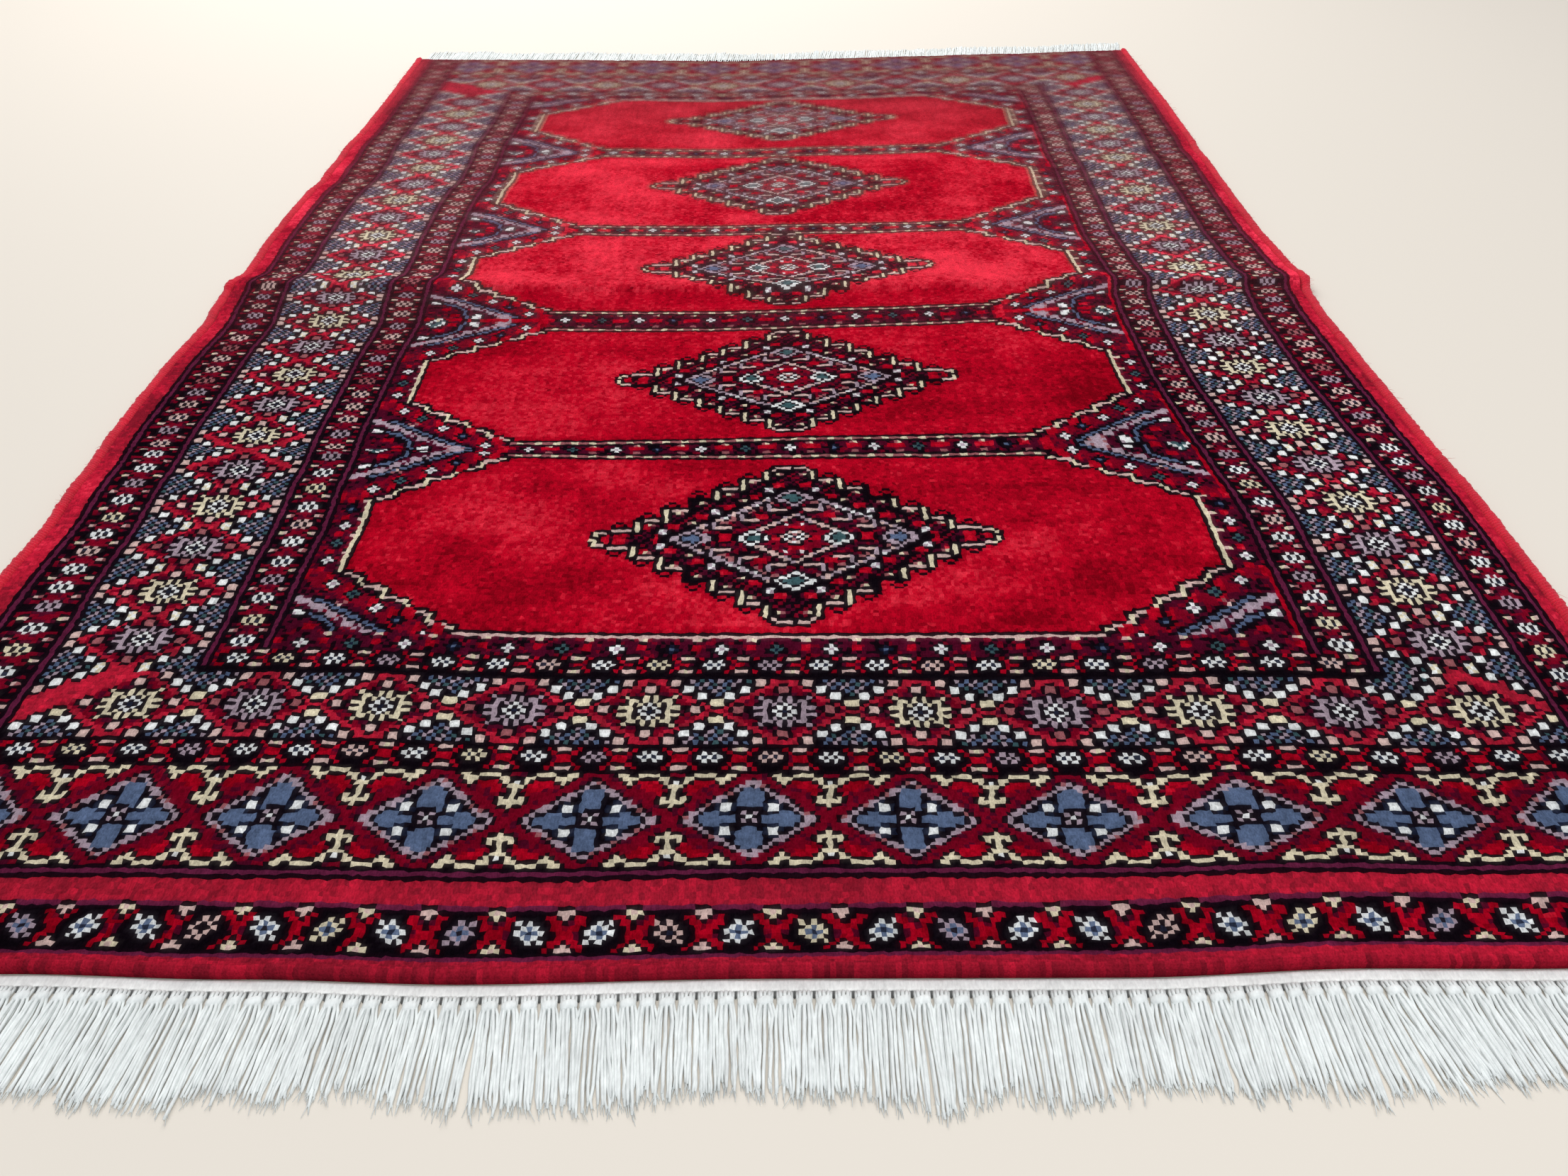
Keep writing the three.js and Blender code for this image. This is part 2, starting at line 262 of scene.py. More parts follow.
def wander(cols: Array, rows: Array, across: int = 357) -> tuple[Array, Array]:
    """How far the weave has wandered from the chart.

    Args:
        cols: Columns of the chart.
        rows: Rows of the chart.
        across: How many columns it has.

    Returns:
        How far the knots there lie to the right, and how far they lie towards the far end, in knots.
    """
    cols, rows = np.broadcast_arrays(np.asarray(cols, float), np.asarray(rows, float))
    left, right = ease((95 - cols) / 50), ease((cols - 240) / 55)
    aside = [WANDER.read(name, rows) for name in ("left", "middle", "right")]
    on = [WANDER.read(name, rows) for name in ("left_on", "middle_on", "right_on")]
    to_right = left * aside[0] + (1 - left - right) * aside[1] + right * aside[2]
    to_right = to_right * np.clip(np.minimum(cols, across - cols) / 20, 0, 1)
    early, late = np.clip((cols - 90) / 95, 0, 1), np.clip((cols - 185) / 115, 0, 1)
    return to_right, on[0] + (on[1] - on[0]) * early + (on[2] - on[1]) * late


def found_plan() -> RugPlan:
    """The plan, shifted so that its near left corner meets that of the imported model's pile."""
    plan = RugPlan()
    corner = min((vertex.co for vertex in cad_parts["rug"].data.vertices), key=lambda co: co.x + co.y)
    across = float(plan.pile_edge(-1, 0.0))
    end = float(plan.pile_end(-1, across) + plan.tuck(across, 0.0))
    return RugPlan(shift=(corner.x - across, corner.y - end))


PLAN = found_plan()

# The small motifs, charted with the furthest row first. A letter is a yarn and a dot leaves the ground.
FLOWER = "..W.W .WSW. WSNSW .WSW. W.W.."
SMALL_FLOWER = ".W.W. WNWNW .W.W."
SIDE_FLOWER = ".W.W. W.WNW WNW.W .W.W."
SPRIG = ".I. IPI"
DOT = "II II"
WIDE_DOT = "III III"
PEARL = "WW WW"
POCKET = "RRR RRR"
CROSS = "..W.. .WLW. ..W.."
STAR = """
.I...I.I...I.
..IIKI.IKII..
..IKIKWKIKI..
III.KWKWK.III
..IKWKNKWKI..
III.KWKWK.III
..IKIKWKIKI..
..IIKI.IKII..
.I...I.I...I.
"""
ANCHOR = """
II..IIII.......IIII..II
.III....II...II....III.
..I......I.W.I......I..
..........III..........
...........I...........
...........I...........
.........I.I.I.........
.........IIIII.........
...........I...........
"""
ELEM_HEART = "LKL KWK LKL"
HOOK = "....L ....L PPPPL"
MEDALLION_HEART = "..PWP.. .WKOKW. PKWNWKP .WKOKW. ..PWP.."
BIRD = "..TW.. .WTTW. WTNTTW .WNTTW ..WINT ...IW. ....II"


@dataclass
class Chart:
    """The knots of the pile, a row of the grid for each row of knots from the near end."""

    across: int = 357
    along: int = 537

    def __post_init__(self) -> None:
        """Starts with a plain crimson pile."""
        self.grid = np.full((self.along, self.across), Yarn.CRIMSON.number, np.uint8)
        self.rows, self.cols = np.mgrid[0 : self.along, 0 : self.across]

    def fill(self, cols: Sequence[float], rows: Sequence[float], yarn: Yarn) -> None:
        """Knots a rectangle, its first and last columns and rows included."""
        spans = (slice(max(round(low), 0), max(round(high) + 1, 0)) for low, high in (rows, cols))
        self.grid[tuple(spans)] = yarn.number

    def paint(self, mask: Array, yarn: Yarn) -> None:
        """Knots every place of the grid where the mask holds."""
        self.grid[mask] = yarn.number

    def nest(self, near: Array, *layers: tuple) -> None:
        """Knots the places within each layer's size with its yarn, in its own mask where it has one."""
        for size, yarn, *mask in layers:
            self.paint((near <= size) & mask[0] if mask else near <= size, yarn)

    def dots(self, cols: Array, rows: Array, numbers: Array | int) -> None:
        """Knots single places, leaving out those outside the pile."""
        inside = (cols >= 0) & (cols < self.across) & (rows >= 0) & (rows < self.along)
        self.grid[rows[inside], cols[inside]] = numbers[inside] if np.ndim(numbers) else numbers

    def stamp(self, motif: str, col: float, row: float, flip_across: bool = False, flip_along: bool = False,
              outline: Yarn | None = Yarn.BLACK, swap: dict[str, str] | None = None) -> None:
        """Knots a small motif round its middle.

        Args:
            motif: The chart's lines, the furthest row first.
            col: The column of its middle.
            row: The row of its middle.
            flip_across: Whether it is mirrored left to right.
            flip_along: Whether it is mirrored near to far.
            outline: The yarn round the motif, or None.
            swap: Letters to knot in place of the chart's own.
        """
        lines = [line[::-1] if flip_across else line for line in motif.split()][:: 1 if flip_along else -1]
        places = [(x, y, YARN_NUMBERS[(swap or {}).get(letter, letter)])
                  for y, line in enumerate(lines) for x, letter in enumerate(line) if letter != "."]
        x, y, numbers = (np.array(part) for part in zip(*places))
        cols = x + math.floor(col - (len(lines[0]) - 1) / 2 + 0.5)
        rows = y + math.floor(row - (len(lines) - 1) / 2 + 0.5)
        if outline is not None:
            for dx, dy in ((1, 0), (-1, 0), (0, 1), (0, -1)):
                self.dots(cols + dx, rows + dy, outline.number)
        self.dots(cols, rows, numbers)

    def diamond(self, col: float, row: float, half_width: float, half_height: float) -> Array:
        """How far each knot lies from a middle, where 1 is on the diamond of that half size."""
        return np.abs(self.cols - col) / half_width + np.abs(self.rows - row) / half_height

    def line(self, points: Sequence[Pair], yarn: Yarn, thick: float = 1.0,
             edge: Yarn | None = None) -> None:
        """Knots a line through points, with an edge one knot wide on both sides where one is given."""
        near = np.full(self.grid.shape, np.inf)
        for (x0, y0), (x1, y1) in zip(points, points[1:]):
            length = max((x1 - x0) ** 2 + (y1 - y0) ** 2, 1e-9)
            share = np.clip(((self.cols - x0) * (x1 - x0) + (self.rows - y0) * (y1 - y0)) / length, 0, 1)
            away = np.hypot(self.cols - x0 - share * (x1 - x0), self.rows - y0 - share * (y1 - y0))
            near = np.minimum(near, away)
        if edge is not None:
            self.paint(near <= thick / 2 + 1, edge)
        self.paint(near <= thick / 2, yarn)


@dataclass(frozen=True)
class Border:
    """A border that runs down one side of the rug, with its depth counted inwards from its outer line."""

    side: Side
    outer: float
    depth: float
    start: float
    stop: float

    def at(self, along: float, inwards: float) -> Pair:
        """The column and row of a place in the border."""
        across_it = self.outer + inwards * (1 if self.side in (Side.NEAR, Side.LEFT) else -1)
        return (across_it, along) if self.side.runs_along else (along, across_it)

    def ground(self, chart: Chart, yarn: Yarn, first: float = 0.0, last: float | None = None) -> None:
        """Knots the border's ground from one depth to another."""
        corners = (self.at(self.start, first), self.at(self.stop, self.depth - 1 if last is None else last))
        chart.fill(*(sorted(pair) for pair in zip(*corners)), yarn)

    def steps(self, pitch: float, first: float) -> list[float]:
        """The places along the border at which a repeat stands."""
        count = int((self.stop - first) / pitch + 0.5) + 1
        return [first + pitch * i for i in range(count) if self.start <= first + pitch * i <= self.stop]


@dataclass(frozen=True)
class Stripes:
    """How many knots wide each stripe of a side border is, from the edge inwards to the ivory line."""

    widths: tuple[int, ...]
    names: tuple[str, ...] = ("red", "outer_line", "guard", "second_line", "stars", "third_line", "minor",
                              "fourth_line", "crosses", "ivory")

    def width(self, name: str) -> int:
        """The width of a stripe."""
        return self.widths[self.names.index(name)]

    def start(self, name: str) -> int:
        """The first column of a stripe, counted from the edge."""
        return sum(self.widths[: self.names.index(name)])


@dataclass(frozen=True)
class Pen:
    """Knots motifs and lines at places counted from a middle, mirrored into one of its quarters."""

    chart: Chart
    col: float
    row: float
    to_right: int
    to_far: int
    tall: float = 1.0

    def put(self, motif: str, x: float, y: float, outline: Yarn | None = Yarn.BLACK) -> None:
        """Stamps a motif at a place counted from the middle."""
        self.chart.stamp(motif, self.col + x * self.to_right, self.row + y * self.tall * self.to_far,
                         self.to_right < 0, self.to_far < 0, outline)

    def draw(self, points: Sequence[Pair], yarn: Yarn, thick: float,
             edge: Yarn | None = None) -> None:
        """Draws a line through places counted likewise."""
        places = [(self.col + x * self.to_right, self.row + y * self.tall * self.to_far) for x, y in points]
        self.chart.line(places, yarn, thick, edge)


@dataclass
class RugPattern:
    """The traditional pattern of the pile: five octagon compartments with stepped medallions in a frame of
    borders, with a panel of diamonds at each end."""

    chart: Chart = field(default_factory=Chart)
    left: Stripes = Stripes((4, 3, 11, 3, 32, 3, 9, 3, 7))
    right: Stripes = Stripes((3, 3, 10, 3, 30, 3, 8, 3, 8))
    compartments: tuple[tuple[int, int], ...] = ((87, 159), (167, 236), (247, 312), (319, 395), (403, 471))
    corner_cut: Pair = (33, 22)
    corner_steps: int = 5
    medallions: tuple[Triple, ...] = (
        (183.3, 122.5, 1.0), (184.6, 202.7, 1.0), (184.8, 282, 0.96), (183, 361, 0.99), (183, 441, 0.86))
    star_pitch_across: float = 28
    flower_pitch_across: float = 11.8
    flower_pitch_along: float = 7.1
    cross_pitch_along: float = 7.0
    elem_pitch: float = 30.4
    side_overrun: int = 13
    far_frame: int = 63
    dull_from: int = 160

    def knot(self) -> Chart:
        """Knots the whole pattern.

        Returns:
            The finished chart.
        """
        self.left_ivory = self.left.start("ivory")
        self.right_ivory = self.chart.across - 1 - self.right.start("ivory")
        self.first_row, self.last_row = self.compartments[0][0], self.compartments[-1][1]
        self.side_stripes: list[tuple[Border, list[float]]] = []
        self.field()
        self.side_borders()
        self.end_borders(Side.NEAR)
        self.end_borders(Side.FAR)
        self.outer_frame()
        self.speckle()
        return self.chart

    def speckle(self) -> None:
        """Odd knots of a neighbouring shade in the dark grounds, as hand knotting leaves them."""
        rng = np.random.default_rng(SEED + 11)
        before = self.chart.grid.copy()
        for ground, other, share in ((Yarn.MAROON, Yarn.WINE, 0.16), (Yarn.MAROON, Yarn.BLACK, 0.2),
                                     (Yarn.WINE, Yarn.MAROON, 0.2), (Yarn.NAVY, Yarn.BLACK, 0.2)):
            self.chart.paint((before == ground.number) & (rng.random(before.shape) < share), other)

    def field(self) -> None:
        """The crimson compartments, the dividers between them and a medallion in each."""
        for low, high in self.compartments:
            self.compartment(low, high)
        for (_, low), (high, _) in zip(self.compartments, self.compartments[1:]):
            self.divider(low, high)
        for col, row, tall in self.medallions:
            Medallion(self.chart, col, row, tall).knot()

    def divider(self, low: int, high: int) -> None:
        """The narrow stripe of crosses between two compartments."""
        chart, pitch = self.chart, self.flower_pitch_across
        first, last = self.left_ivory + self.corner_cut[0] + 1, self.right_ivory - self.corner_cut[0] - 1
        for rows, yarn in (((low + 1, high - 1), Yarn.MAROON), ((low + 1, low + 1), Yarn.BLACK),
                           ((high - 1, high - 1), Yarn.BLACK)):
            chart.fill((first, last), rows, yarn)
        middle = (low + high) / 2
        for number in range(int((last - first - 7) / pitch) + 1):
            col = first + 4 + number * pitch
            self.cross(col, middle, number)
            for motif, share, row in ((POCKET, -0.42, middle), (POCKET, 0.42, middle), ("OO", 0.5, low + 2),
                                      ("OI", 0.5, high - 2)):
                chart.stamp(motif, col + share * pitch, row, outline=None)

    def cross(self, col: float, row: float, number: int) -> None:
        """A small cross, white and dark by turns, with every other dark one teal."""
        dark = {"W": "T", "L": "N"} if number % 4 == 1 else {"W": "N", "L": "S"}
        self.chart.stamp(CROSS, col, row, swap=dark if number % 2 else None)

    def compartment(self, low: int, high: int) -> None:
        """One compartment: its four corners and its ivory outline."""
        chart = self.chart
        run, rise = self.corner_cut
        ends = ((low, 1, low == self.first_row), (high, -1, high == self.last_row))
        for col, to_right in ((self.left_ivory, 1), (self.right_ivory, -1)):
            for row, to_far, is_outer in ends:
                self.corner(col, row, to_right, to_far, is_outer)
        cols = (self.left_ivory + run, self.right_ivory - run)
        spots = np.arange(round(cols[0]), round(cols[1]))
        spots = spots[spots % 5 < 2]
        for row, to_far, is_outer in ends:
            chart.fill(cols, (row, row), Yarn.PINK if is_outer else Yarn.ROSE)
            chart.dots(spots, np.full(len(spots), row), (Yarn.ROSE if is_outer else Yarn.IVORY).number)
            chart.fill(cols, (row + to_far, row + to_far), Yarn.BLACK)
        for col in (self.left_ivory, self.right_ivory):
            chart.line([(col, low + rise), (col, high - rise)], Yarn.IVORY, 1.0, edge=Yarn.BLACK)

    def corner(self, col: int, row: int, to_right: int, to_far: int, is_outer: bool) -> None:
        """A cut corner of a compartment, with its stepped ivory line, its crosses and the lilac bar.

        Args:
            col: The ivory column beside the corner.
            row: The ivory row below or above the corner.
            to_right: 1 where the compartment lies to the right and -1 where it lies to the left.
            to_far: 1 where the compartment lies beyond the row and -1 where it lies before it.
            is_outer: Whether the corner meets an end border and not a divider.
        """
        pen = Pen(self.chart, col, row, to_right, to_far)
        run, rise = self.corner_cut
        a, b = (self.chart.cols - col) * to_right, (self.chart.rows - row) * to_far
        floor = -6 if is_outer else -4.5
        region = (a >= -7) & (b >= floor) & (a / run + b / rise <= 1) & (b <= rise) & (a <= run)
        ladder = region & (np.abs(b - 16.8 + 0.68 * a) < 3)
        rungs = ladder & ((a + 50) % 6.5 > 1.8) & ((a + 50) % 6.5 < 4.2)
        for mask, yarn in ((region, Yarn.MAROON), (ladder, Yarn.WINE), (rungs, Yarn.CRIMSON)):
            self.chart.paint(mask, yarn)
        points = []
        for step in range(self.corner_steps + 1):
            x, y = run * step / self.corner_steps, rise * (1 - step / self.corner_steps)
            if step:
                points.append((x - 0.6, y + 1.8))
            points.append((x, max(y - 0.7 * (step > 0), 0.0)))
        pen.draw(points, Yarn.PINK, 1.0, Yarn.BLACK)
        for ends in zip(points[1::2], points[2::2]):
            pen.draw(ends, Yarn.IVORY, 1.1)
        for number in range(5):
            x = -0.5 + 6.5 * number
            self.cross(col + x * to_right, row + (16.8 - 0.68 * x) * to_far, number)
        for x, y in ((21, 6.5), (28.5, 1.0)):
            pen.put("RR. RRR RRR .RR", x, y, None)
        pen.draw([(-2, 11.4), (22, -3.2)], Yarn.SLATE, 0.8, Yarn.BLACK)
        pen.draw([(-6.5, 11.6), (20, -4.2)], Yarn.LILAC, 1.7)
        pen.draw([(-3.5, 9.8), (18, -3.0)], Yarn.MAROON, 0.6)
        for x, y, motif in ((-5, 10.5, WIDE_DOT), (-0.8, 8.2, WIDE_DOT), (3.6, 5.4, DOT),
                            (8.4, 2.6, WIDE_DOT), (13, -0.2, DOT)):
            pen.put(motif.replace("I", "L"), x, y, None)
        pen.put("OLLL. LLLLO OLLL.", 17.5, -3.2, None)
        pen.draw([(-5, 6.8), (1, 4.6), (4.6, 1.4), (5.8, -3.8)], Yarn.SLATE, 0.9, Yarn.BLACK)
        pen.put("WW. LWW", -5.3, 6.6)
        pen.put(".WW WWW WWL", 9.0, -2.8)
        for motif, x, y in ((POCKET, 1.6, -2.2), (POCKET, -0.6, 1.6), ("O.O .P.", 4.0, 9.0)):
            pen.put(motif, x, y, None)
        if to_far < 0 and not is_outer:
            pen.put(BIRD, -4, -3.5)

    def flowers(self, border: Border, pitch: float, first: float, inset: float,
                places: Sequence[float] = ()) -> None:
        """A row of small flowers down a border, with sprigs between them at both its edges.

        Args:
            border: The border.
            pitch: How far apart the flowers stand.
            first: The place of the first one.
            inset: How far in from each edge the sprigs stand.
            places: Where the flowers stand, if their pitch isn't even.
        """
        chart, is_side, middle = self.chart, border.side.runs_along, (border.depth - 1) / 2
        border.ground(chart, Yarn.MAROON)
        along, across = (chart.rows, chart.cols) if is_side else (chart.cols, chart.rows)
        inwards = np.abs(across - border.at(0, middle)[0 if is_side else 1])
        inside = (inwards <= middle) & (along >= border.start) & (along <= border.stop)
        places = np.array(places or border.steps(pitch, first))
        from_flower = np.abs(np.arange(along.max() + 1)[:, None] - places).min(1)[along]
        crossing = np.abs(from_flower + inwards / middle * pitch * 0.22 - pitch / 2)
        chart.paint(inside & (from_flower < pitch * (0.26 if is_side else 0.34)), Yarn.BLACK)
        chart.paint(inside & (crossing < 0.9), Yarn.WINE if is_side else Yarn.CRIMSON)
        motif = SIDE_FLOWER if is_side else FLOWER if border.depth > 6 else SMALL_FLOWER
        for number, at in enumerate(places):
            is_odd, is_dull = number % 2 > 0, is_side and at > self.dull_from
            dull = {"W": "LOP"[number % 3], "N": "K"} if is_dull else None
            swap = (dull, {"W": "P" if is_dull else "I"}, dull, {"W": "L", "N": "K"}, dull, dull,
                    {"W": "P", "S": "K"})[number % 7]
            chart.stamp(motif, *border.at(at, middle), outline=None, swap=swap, flip_across=is_odd)
            sprig = ("IP" if is_odd else "PO") if is_side else SPRIG if border.depth > 6 else "PIP"
            for depth, is_inner in ((inset, False), (border.depth - 1 - inset, True)):
                chart.stamp(sprig, *border.at(at + pitch / 2, depth),
                            flip_along=not is_side and is_inner == (border.side is Side.NEAR),
                            swap={"I": "P"} if is_odd and not is_side else None)

    def lozenge(self, border: Border, along: float, from_inner: bool) -> None:
        """Half of a hooked lozenge that stands on one line of the star border."""
        chart, is_side = self.chart, border.side.runs_along
        base, reach = (6.6, border.depth * 0.34) if is_side else (8.2, 6.1)
        middle = border.at(along, border.depth - 0.5 if from_inner else -0.5)
        near = chart.diamond(*middle, *((reach, base) if is_side else (base, reach)))
        axis = 0 if is_side else 1
        inwards = np.sign(border.at(along, border.depth / 2)[axis] - middle[axis])
        half_plane = ((chart.cols, chart.rows)[axis] - middle[axis]) * inwards >= 0
        chart.paint(half_plane & (near <= 1.12), Yarn.BLACK)
        specks = (chart.cols * 2 + chart.rows) % 5
        is_lit = half_plane & (near < 0.94) & ((chart.cols + chart.rows) % 2 == 0)
        for value, yarn in enumerate((Yarn.SLATE, Yarn.LILAC, Yarn.SLATE, Yarn.TEAL, Yarn.LILAC)):
            chart.paint(is_lit & (specks == value), yarn)
        for aside, high, motif in ((0.0, 1.0, "WI IW WI" if is_side else WIDE_DOT), (0.38, 0.72, PEARL),
                                   (0.74, 0.36, PEARL), (1.08, 0.06, DOT)):
            depth = border.depth - 1 - reach * high if from_inner else reach * high
            for turn in BOTH:
                chart.stamp(motif, *border.at(along + base * aside * turn, depth),
                            swap={"I": "P"} if motif == DOT else None)

    def star_border(self, border: Border, stars: Sequence[float], lozenges: Sequence[float]) -> None:
        """The main border: stars on bright red, with half lozenges between them on both lines.

        Args:
            border: The border.
            stars: The places of the stars along it.
            lozenges: The places of the lozenges along it.
        """
        chart = self.chart
        border.ground(chart, Yarn.BRIGHT)
        for number, along in enumerate(stars, int(border.side.runs_along)):
            col, row = border.at(along, (border.depth - 1) / 2)
            chart.paint(chart.diamond(col, row, 12.6, 8.6) <= 1, Yarn.WINE)
            chart.paint(chart.diamond(col, row, 9.6, 7.0) <= 1, Yarn.MAROON)
            chart.stamp(STAR, col, row, swap={"I": "L"} if number % 2 else None)
            for dx, dy in ((9.4, 0), (-9.4, 0), (0, 6.2), (0, -6.2)):
                chart.stamp(DOT, col + dx, row + dy, swap={"I": "O" if number % 2 else "P"})
        for along in lozenges:
            self.lozenge(border, along, False)
            self.lozenge(border, along, True)

    def cross_stripe(self, border: Border, first: float) -> None:
        """The innermost stripe: crosses on maroon with red pockets and ivory dots by the ivory line."""
        border.ground(self.chart, Yarn.MAROON)
        pitch = self.cross_pitch_along if border.side.runs_along else self.flower_pitch_across
        middle = border.depth / 2 - 0.8
        for number, along in enumerate(border.steps(pitch, first)):
            for share in (-0.5, 0.5):
                self.chart.stamp("RR RR", *border.at(along + share * pitch, middle), outline=None)
            self.cross(*border.at(along, middle), number)
            self.chart.stamp("PI", *border.at(along + pitch / 2, border.depth - 1), outline=None)

    def double_line(self, border: Border) -> None:
        """A plum line between two black ones."""
        border.ground(self.chart, Yarn.BLACK)
        if border.depth >= 3:
            border.ground(self.chart, Yarn.PLUM, 1, border.depth - 2)

    def side_stripe(self, side: Side, name: str, start: float, stop: float) -> Border:
        """The stripe of that name down one side, from one row to another."""
        stripes = self.left if side is Side.LEFT else self.right
        first = stripes.start(name)
        outer = first if side is Side.LEFT else self.chart.across - 1 - first
        return Border(side, outer, stripes.width(name), start, stop)

    def side_borders(self) -> None:
        """The stripes down both sides, from the near panel to the far one."""
        start, stop = self.first_row - self.side_overrun, self.last_row + self.side_overrun
        for side, first, pitch in ((Side.LEFT, 84.2, 17.36), (Side.RIGHT, 80.4, 17.7)):
            for low, high in self.compartments:
                rows = (low + self.corner_cut[1] + 1, high - self.corner_cut[1] - 1)
                self.cross_stripe(self.side_stripe(side, "crosses", *rows), rows[0] + 2.5)
            minor = self.side_stripe(side, "minor", start + 7, stop - 7)
            self.flowers(minor, self.flower_pitch_along + 0.25, start + 9.5, 0.8)
            self.double_line(self.side_stripe(side, "fourth_line", start + 7, stop - 7))
            self.double_line(self.side_stripe(side, "third_line", start, stop))
            stripe = self.side_stripe(side, "stars", start - 2, stop + 2)
            middle = stripe.at(0, stripe.depth / 2)[0]
            rows = [first + pitch * number for number in range(-1, 24)]
            rows = [row - float(wander(middle, row)[1]) for row in rows]
            between = [(a + b) / 2 for a, b in zip(rows, rows[1:])]
            self.star_border(stripe, rows[1:-1], between)
            self.side_stripes.append((stripe, between))

    def end_borders(self, side: Side) -> None:
        """The stripes across one end, from the ivory line out to the panel of diamonds."""
        chart, is_near = self.chart, side is Side.NEAR
        base, out = (self.first_row, -1) if is_near else (self.last_row, 1)

        def ends(name: str) -> tuple[int, int]:
            """The columns at which the side stripes of that name start."""
            return self.left.start(name), chart.across - 1 - self.right.start(name)

        def border(name: str, nearest: int, depth: int) -> Border:
            """A stripe across this end, from its distance outside the ivory row."""
            return Border(side, base + out * (nearest + depth - 1), depth, *ends(name))

        def black(name: str, row: int) -> None:
            """A black row across this end at that distance outside the ivory row."""
            chart.fill(ends(name), (base + out * row, base + out * row), Yarn.BLACK)

        self.cross_stripe(border("crosses", 1, 6), 74.0)
        left, right = ends("ivory")
        chart.fill((left + self.corner_cut[0], right - self.corner_cut[0]), (base, base), Yarn.PINK)
        self.flowers(border("minor", 7, 5), self.flower_pitch_across, 60.5, 0)
        black("third_line", 12)
        black("third_line", 13)
        stripe = border("stars", 14, 19)
        stars = stripe.steps(self.star_pitch_across, 42.7)
        half = self.star_pitch_across / 2
        self.star_border(stripe, stars, [along + half for along in stars[:-1]])
        self.lozenge(stripe, stars[0] - half, False)
        self.lozenge(stripe, stars[-1] + half, False)
        for side_stripe, rows in self.side_stripes:
            self.lozenge(side_stripe, rows[0 if is_near else -1], False)
        black("second_line", 33)
        self.flowers(border("stars", 34, 6), self.flower_pitch_across, 26.5, 0)
        black("second_line", 40)
        self.elem(border("stars", 41, 24 if is_near else 23), 25.0 if is_near else 27.0)
        if is_near:
            self.double_line(border("second_line", 65, 3))

    def elem(self, panel: Border, first: float) -> None:
        """The end panel: slate flowers in rope-edged diamonds, with ivory anchors between them."""
        chart = self.chart
        panel.ground(chart, Yarn.WINE)
        middle = panel.at(0, (panel.depth - 1) / 2)[1]
        low, high = sorted((panel.outer, panel.at(0, panel.depth - 1)[1]))
        inside = (chart.cols >= panel.start) & (chart.cols <= panel.stop)
        inside &= (chart.rows >= low) & (chart.rows <= high)
        before = chart.grid.copy()
        away = np.abs(chart.rows - middle)
        for number in range(-1, 12):
            col = first + (number + 0.5) * self.elem_pitch
            beside = np.abs(chart.cols - col)
            chart.paint((away > 4.4 + beside * 0.62) & (away < 10) & (beside > 2.5), Yarn.CRIMSON)
            for turn in BOTH:
                chart.stamp(ANCHOR, col, middle + turn * 7.3, flip_along=turn < 0)
        for number in range(12):
            self.elem_diamond(first + number * self.elem_pitch, middle)
        chart.grid[~inside] = before[~inside]

    def elem_diamond(self, col: float, row: float) -> None:
        """One diamond of the end panel, with its rope edge and four slate petals."""
        chart = self.chart
        near = chart.diamond(col, row, 12.9, 10.1)
        rope = (near > 0.95) & ((chart.cols + 2 * chart.rows) % 5 == 0)
        chart.nest(near, (1.22, Yarn.WINE), (1.09, Yarn.BLACK), (1.02, Yarn.LILAC), (1.02, Yarn.ROSE, rope),
                   (0.9, Yarn.BLACK))
        for dx, dy, half_width, half_height in ((0, 4.9, 2.4, 3.2), (0, -4.9, 2.4, 3.2),
                                                (5.9, 0, 3.9, 1.7), (-5.9, 0, 3.9, 1.7)):
            petal = (np.abs(chart.cols - col - dx) / half_width) ** 2.6
            chart.paint(petal + (np.abs(chart.rows - row - dy) / half_height) ** 2.6 <= 1.0, Yarn.SLATE)
        for to_right, to_far in QUARTERS:
            chart.stamp(PEARL, col + 4.4 * to_right, row + 3.1 * to_far, outline=Yarn.NAVY)
        chart.stamp(ELEM_HEART, col, row)

    def outer_frame(self) -> None:
        """The plain red edge, the guard border inside it and the wide red stripe of the near end."""
        chart = self.chart
        far_panel, right_edge = self.last_row + self.far_frame, chart.across - 1
        for side, first, last in ((Side.LEFT, 0, self.left.width("red") - 1),
                                  (Side.RIGHT, right_edge + 1 - self.right.width("red"), right_edge)):
            self.flowers(self.side_stripe(side, "guard", 20, far_panel), self.flower_pitch_along, 24.0, 1.0)
            self.double_line(self.side_stripe(side, "second_line", 20, far_panel))
            self.double_line(self.side_stripe(side, "outer_line", 5, far_panel))
            chart.fill((first, last), (0, chart.along), Yarn.BRIGHT)
        inner = (self.left.width("red"), right_edge - self.right.width("red"))
        for first, last, yarn in ((16, 19, Yarn.BRIGHT), (4, 4, Yarn.PLUM), (5, 5, Yarn.BLACK),
                                  (14, 14, Yarn.BLACK), (15, 15, Yarn.PLUM)):
            chart.fill(inner, (first, last), yarn)
        near = Border(Side.NEAR, 6, 8, self.left.start("guard"), right_edge - self.right.start("guard"))
        places = [17.6 + 10.8 * i for i in range(10)] + [127.0 + 12.1 * i for i in range(18)]
        self.flowers(near, self.flower_pitch_across, 16.0, 0, places)
        chart.fill((0, chart.across), (0, 3), Yarn.BRIGHT)
        chart.fill(inner, (far_panel + 1, far_panel + 2), Yarn.BLACK)
        chart.fill((0, chart.across), (far_panel + 3, chart.along), Yarn.BRIGHT)


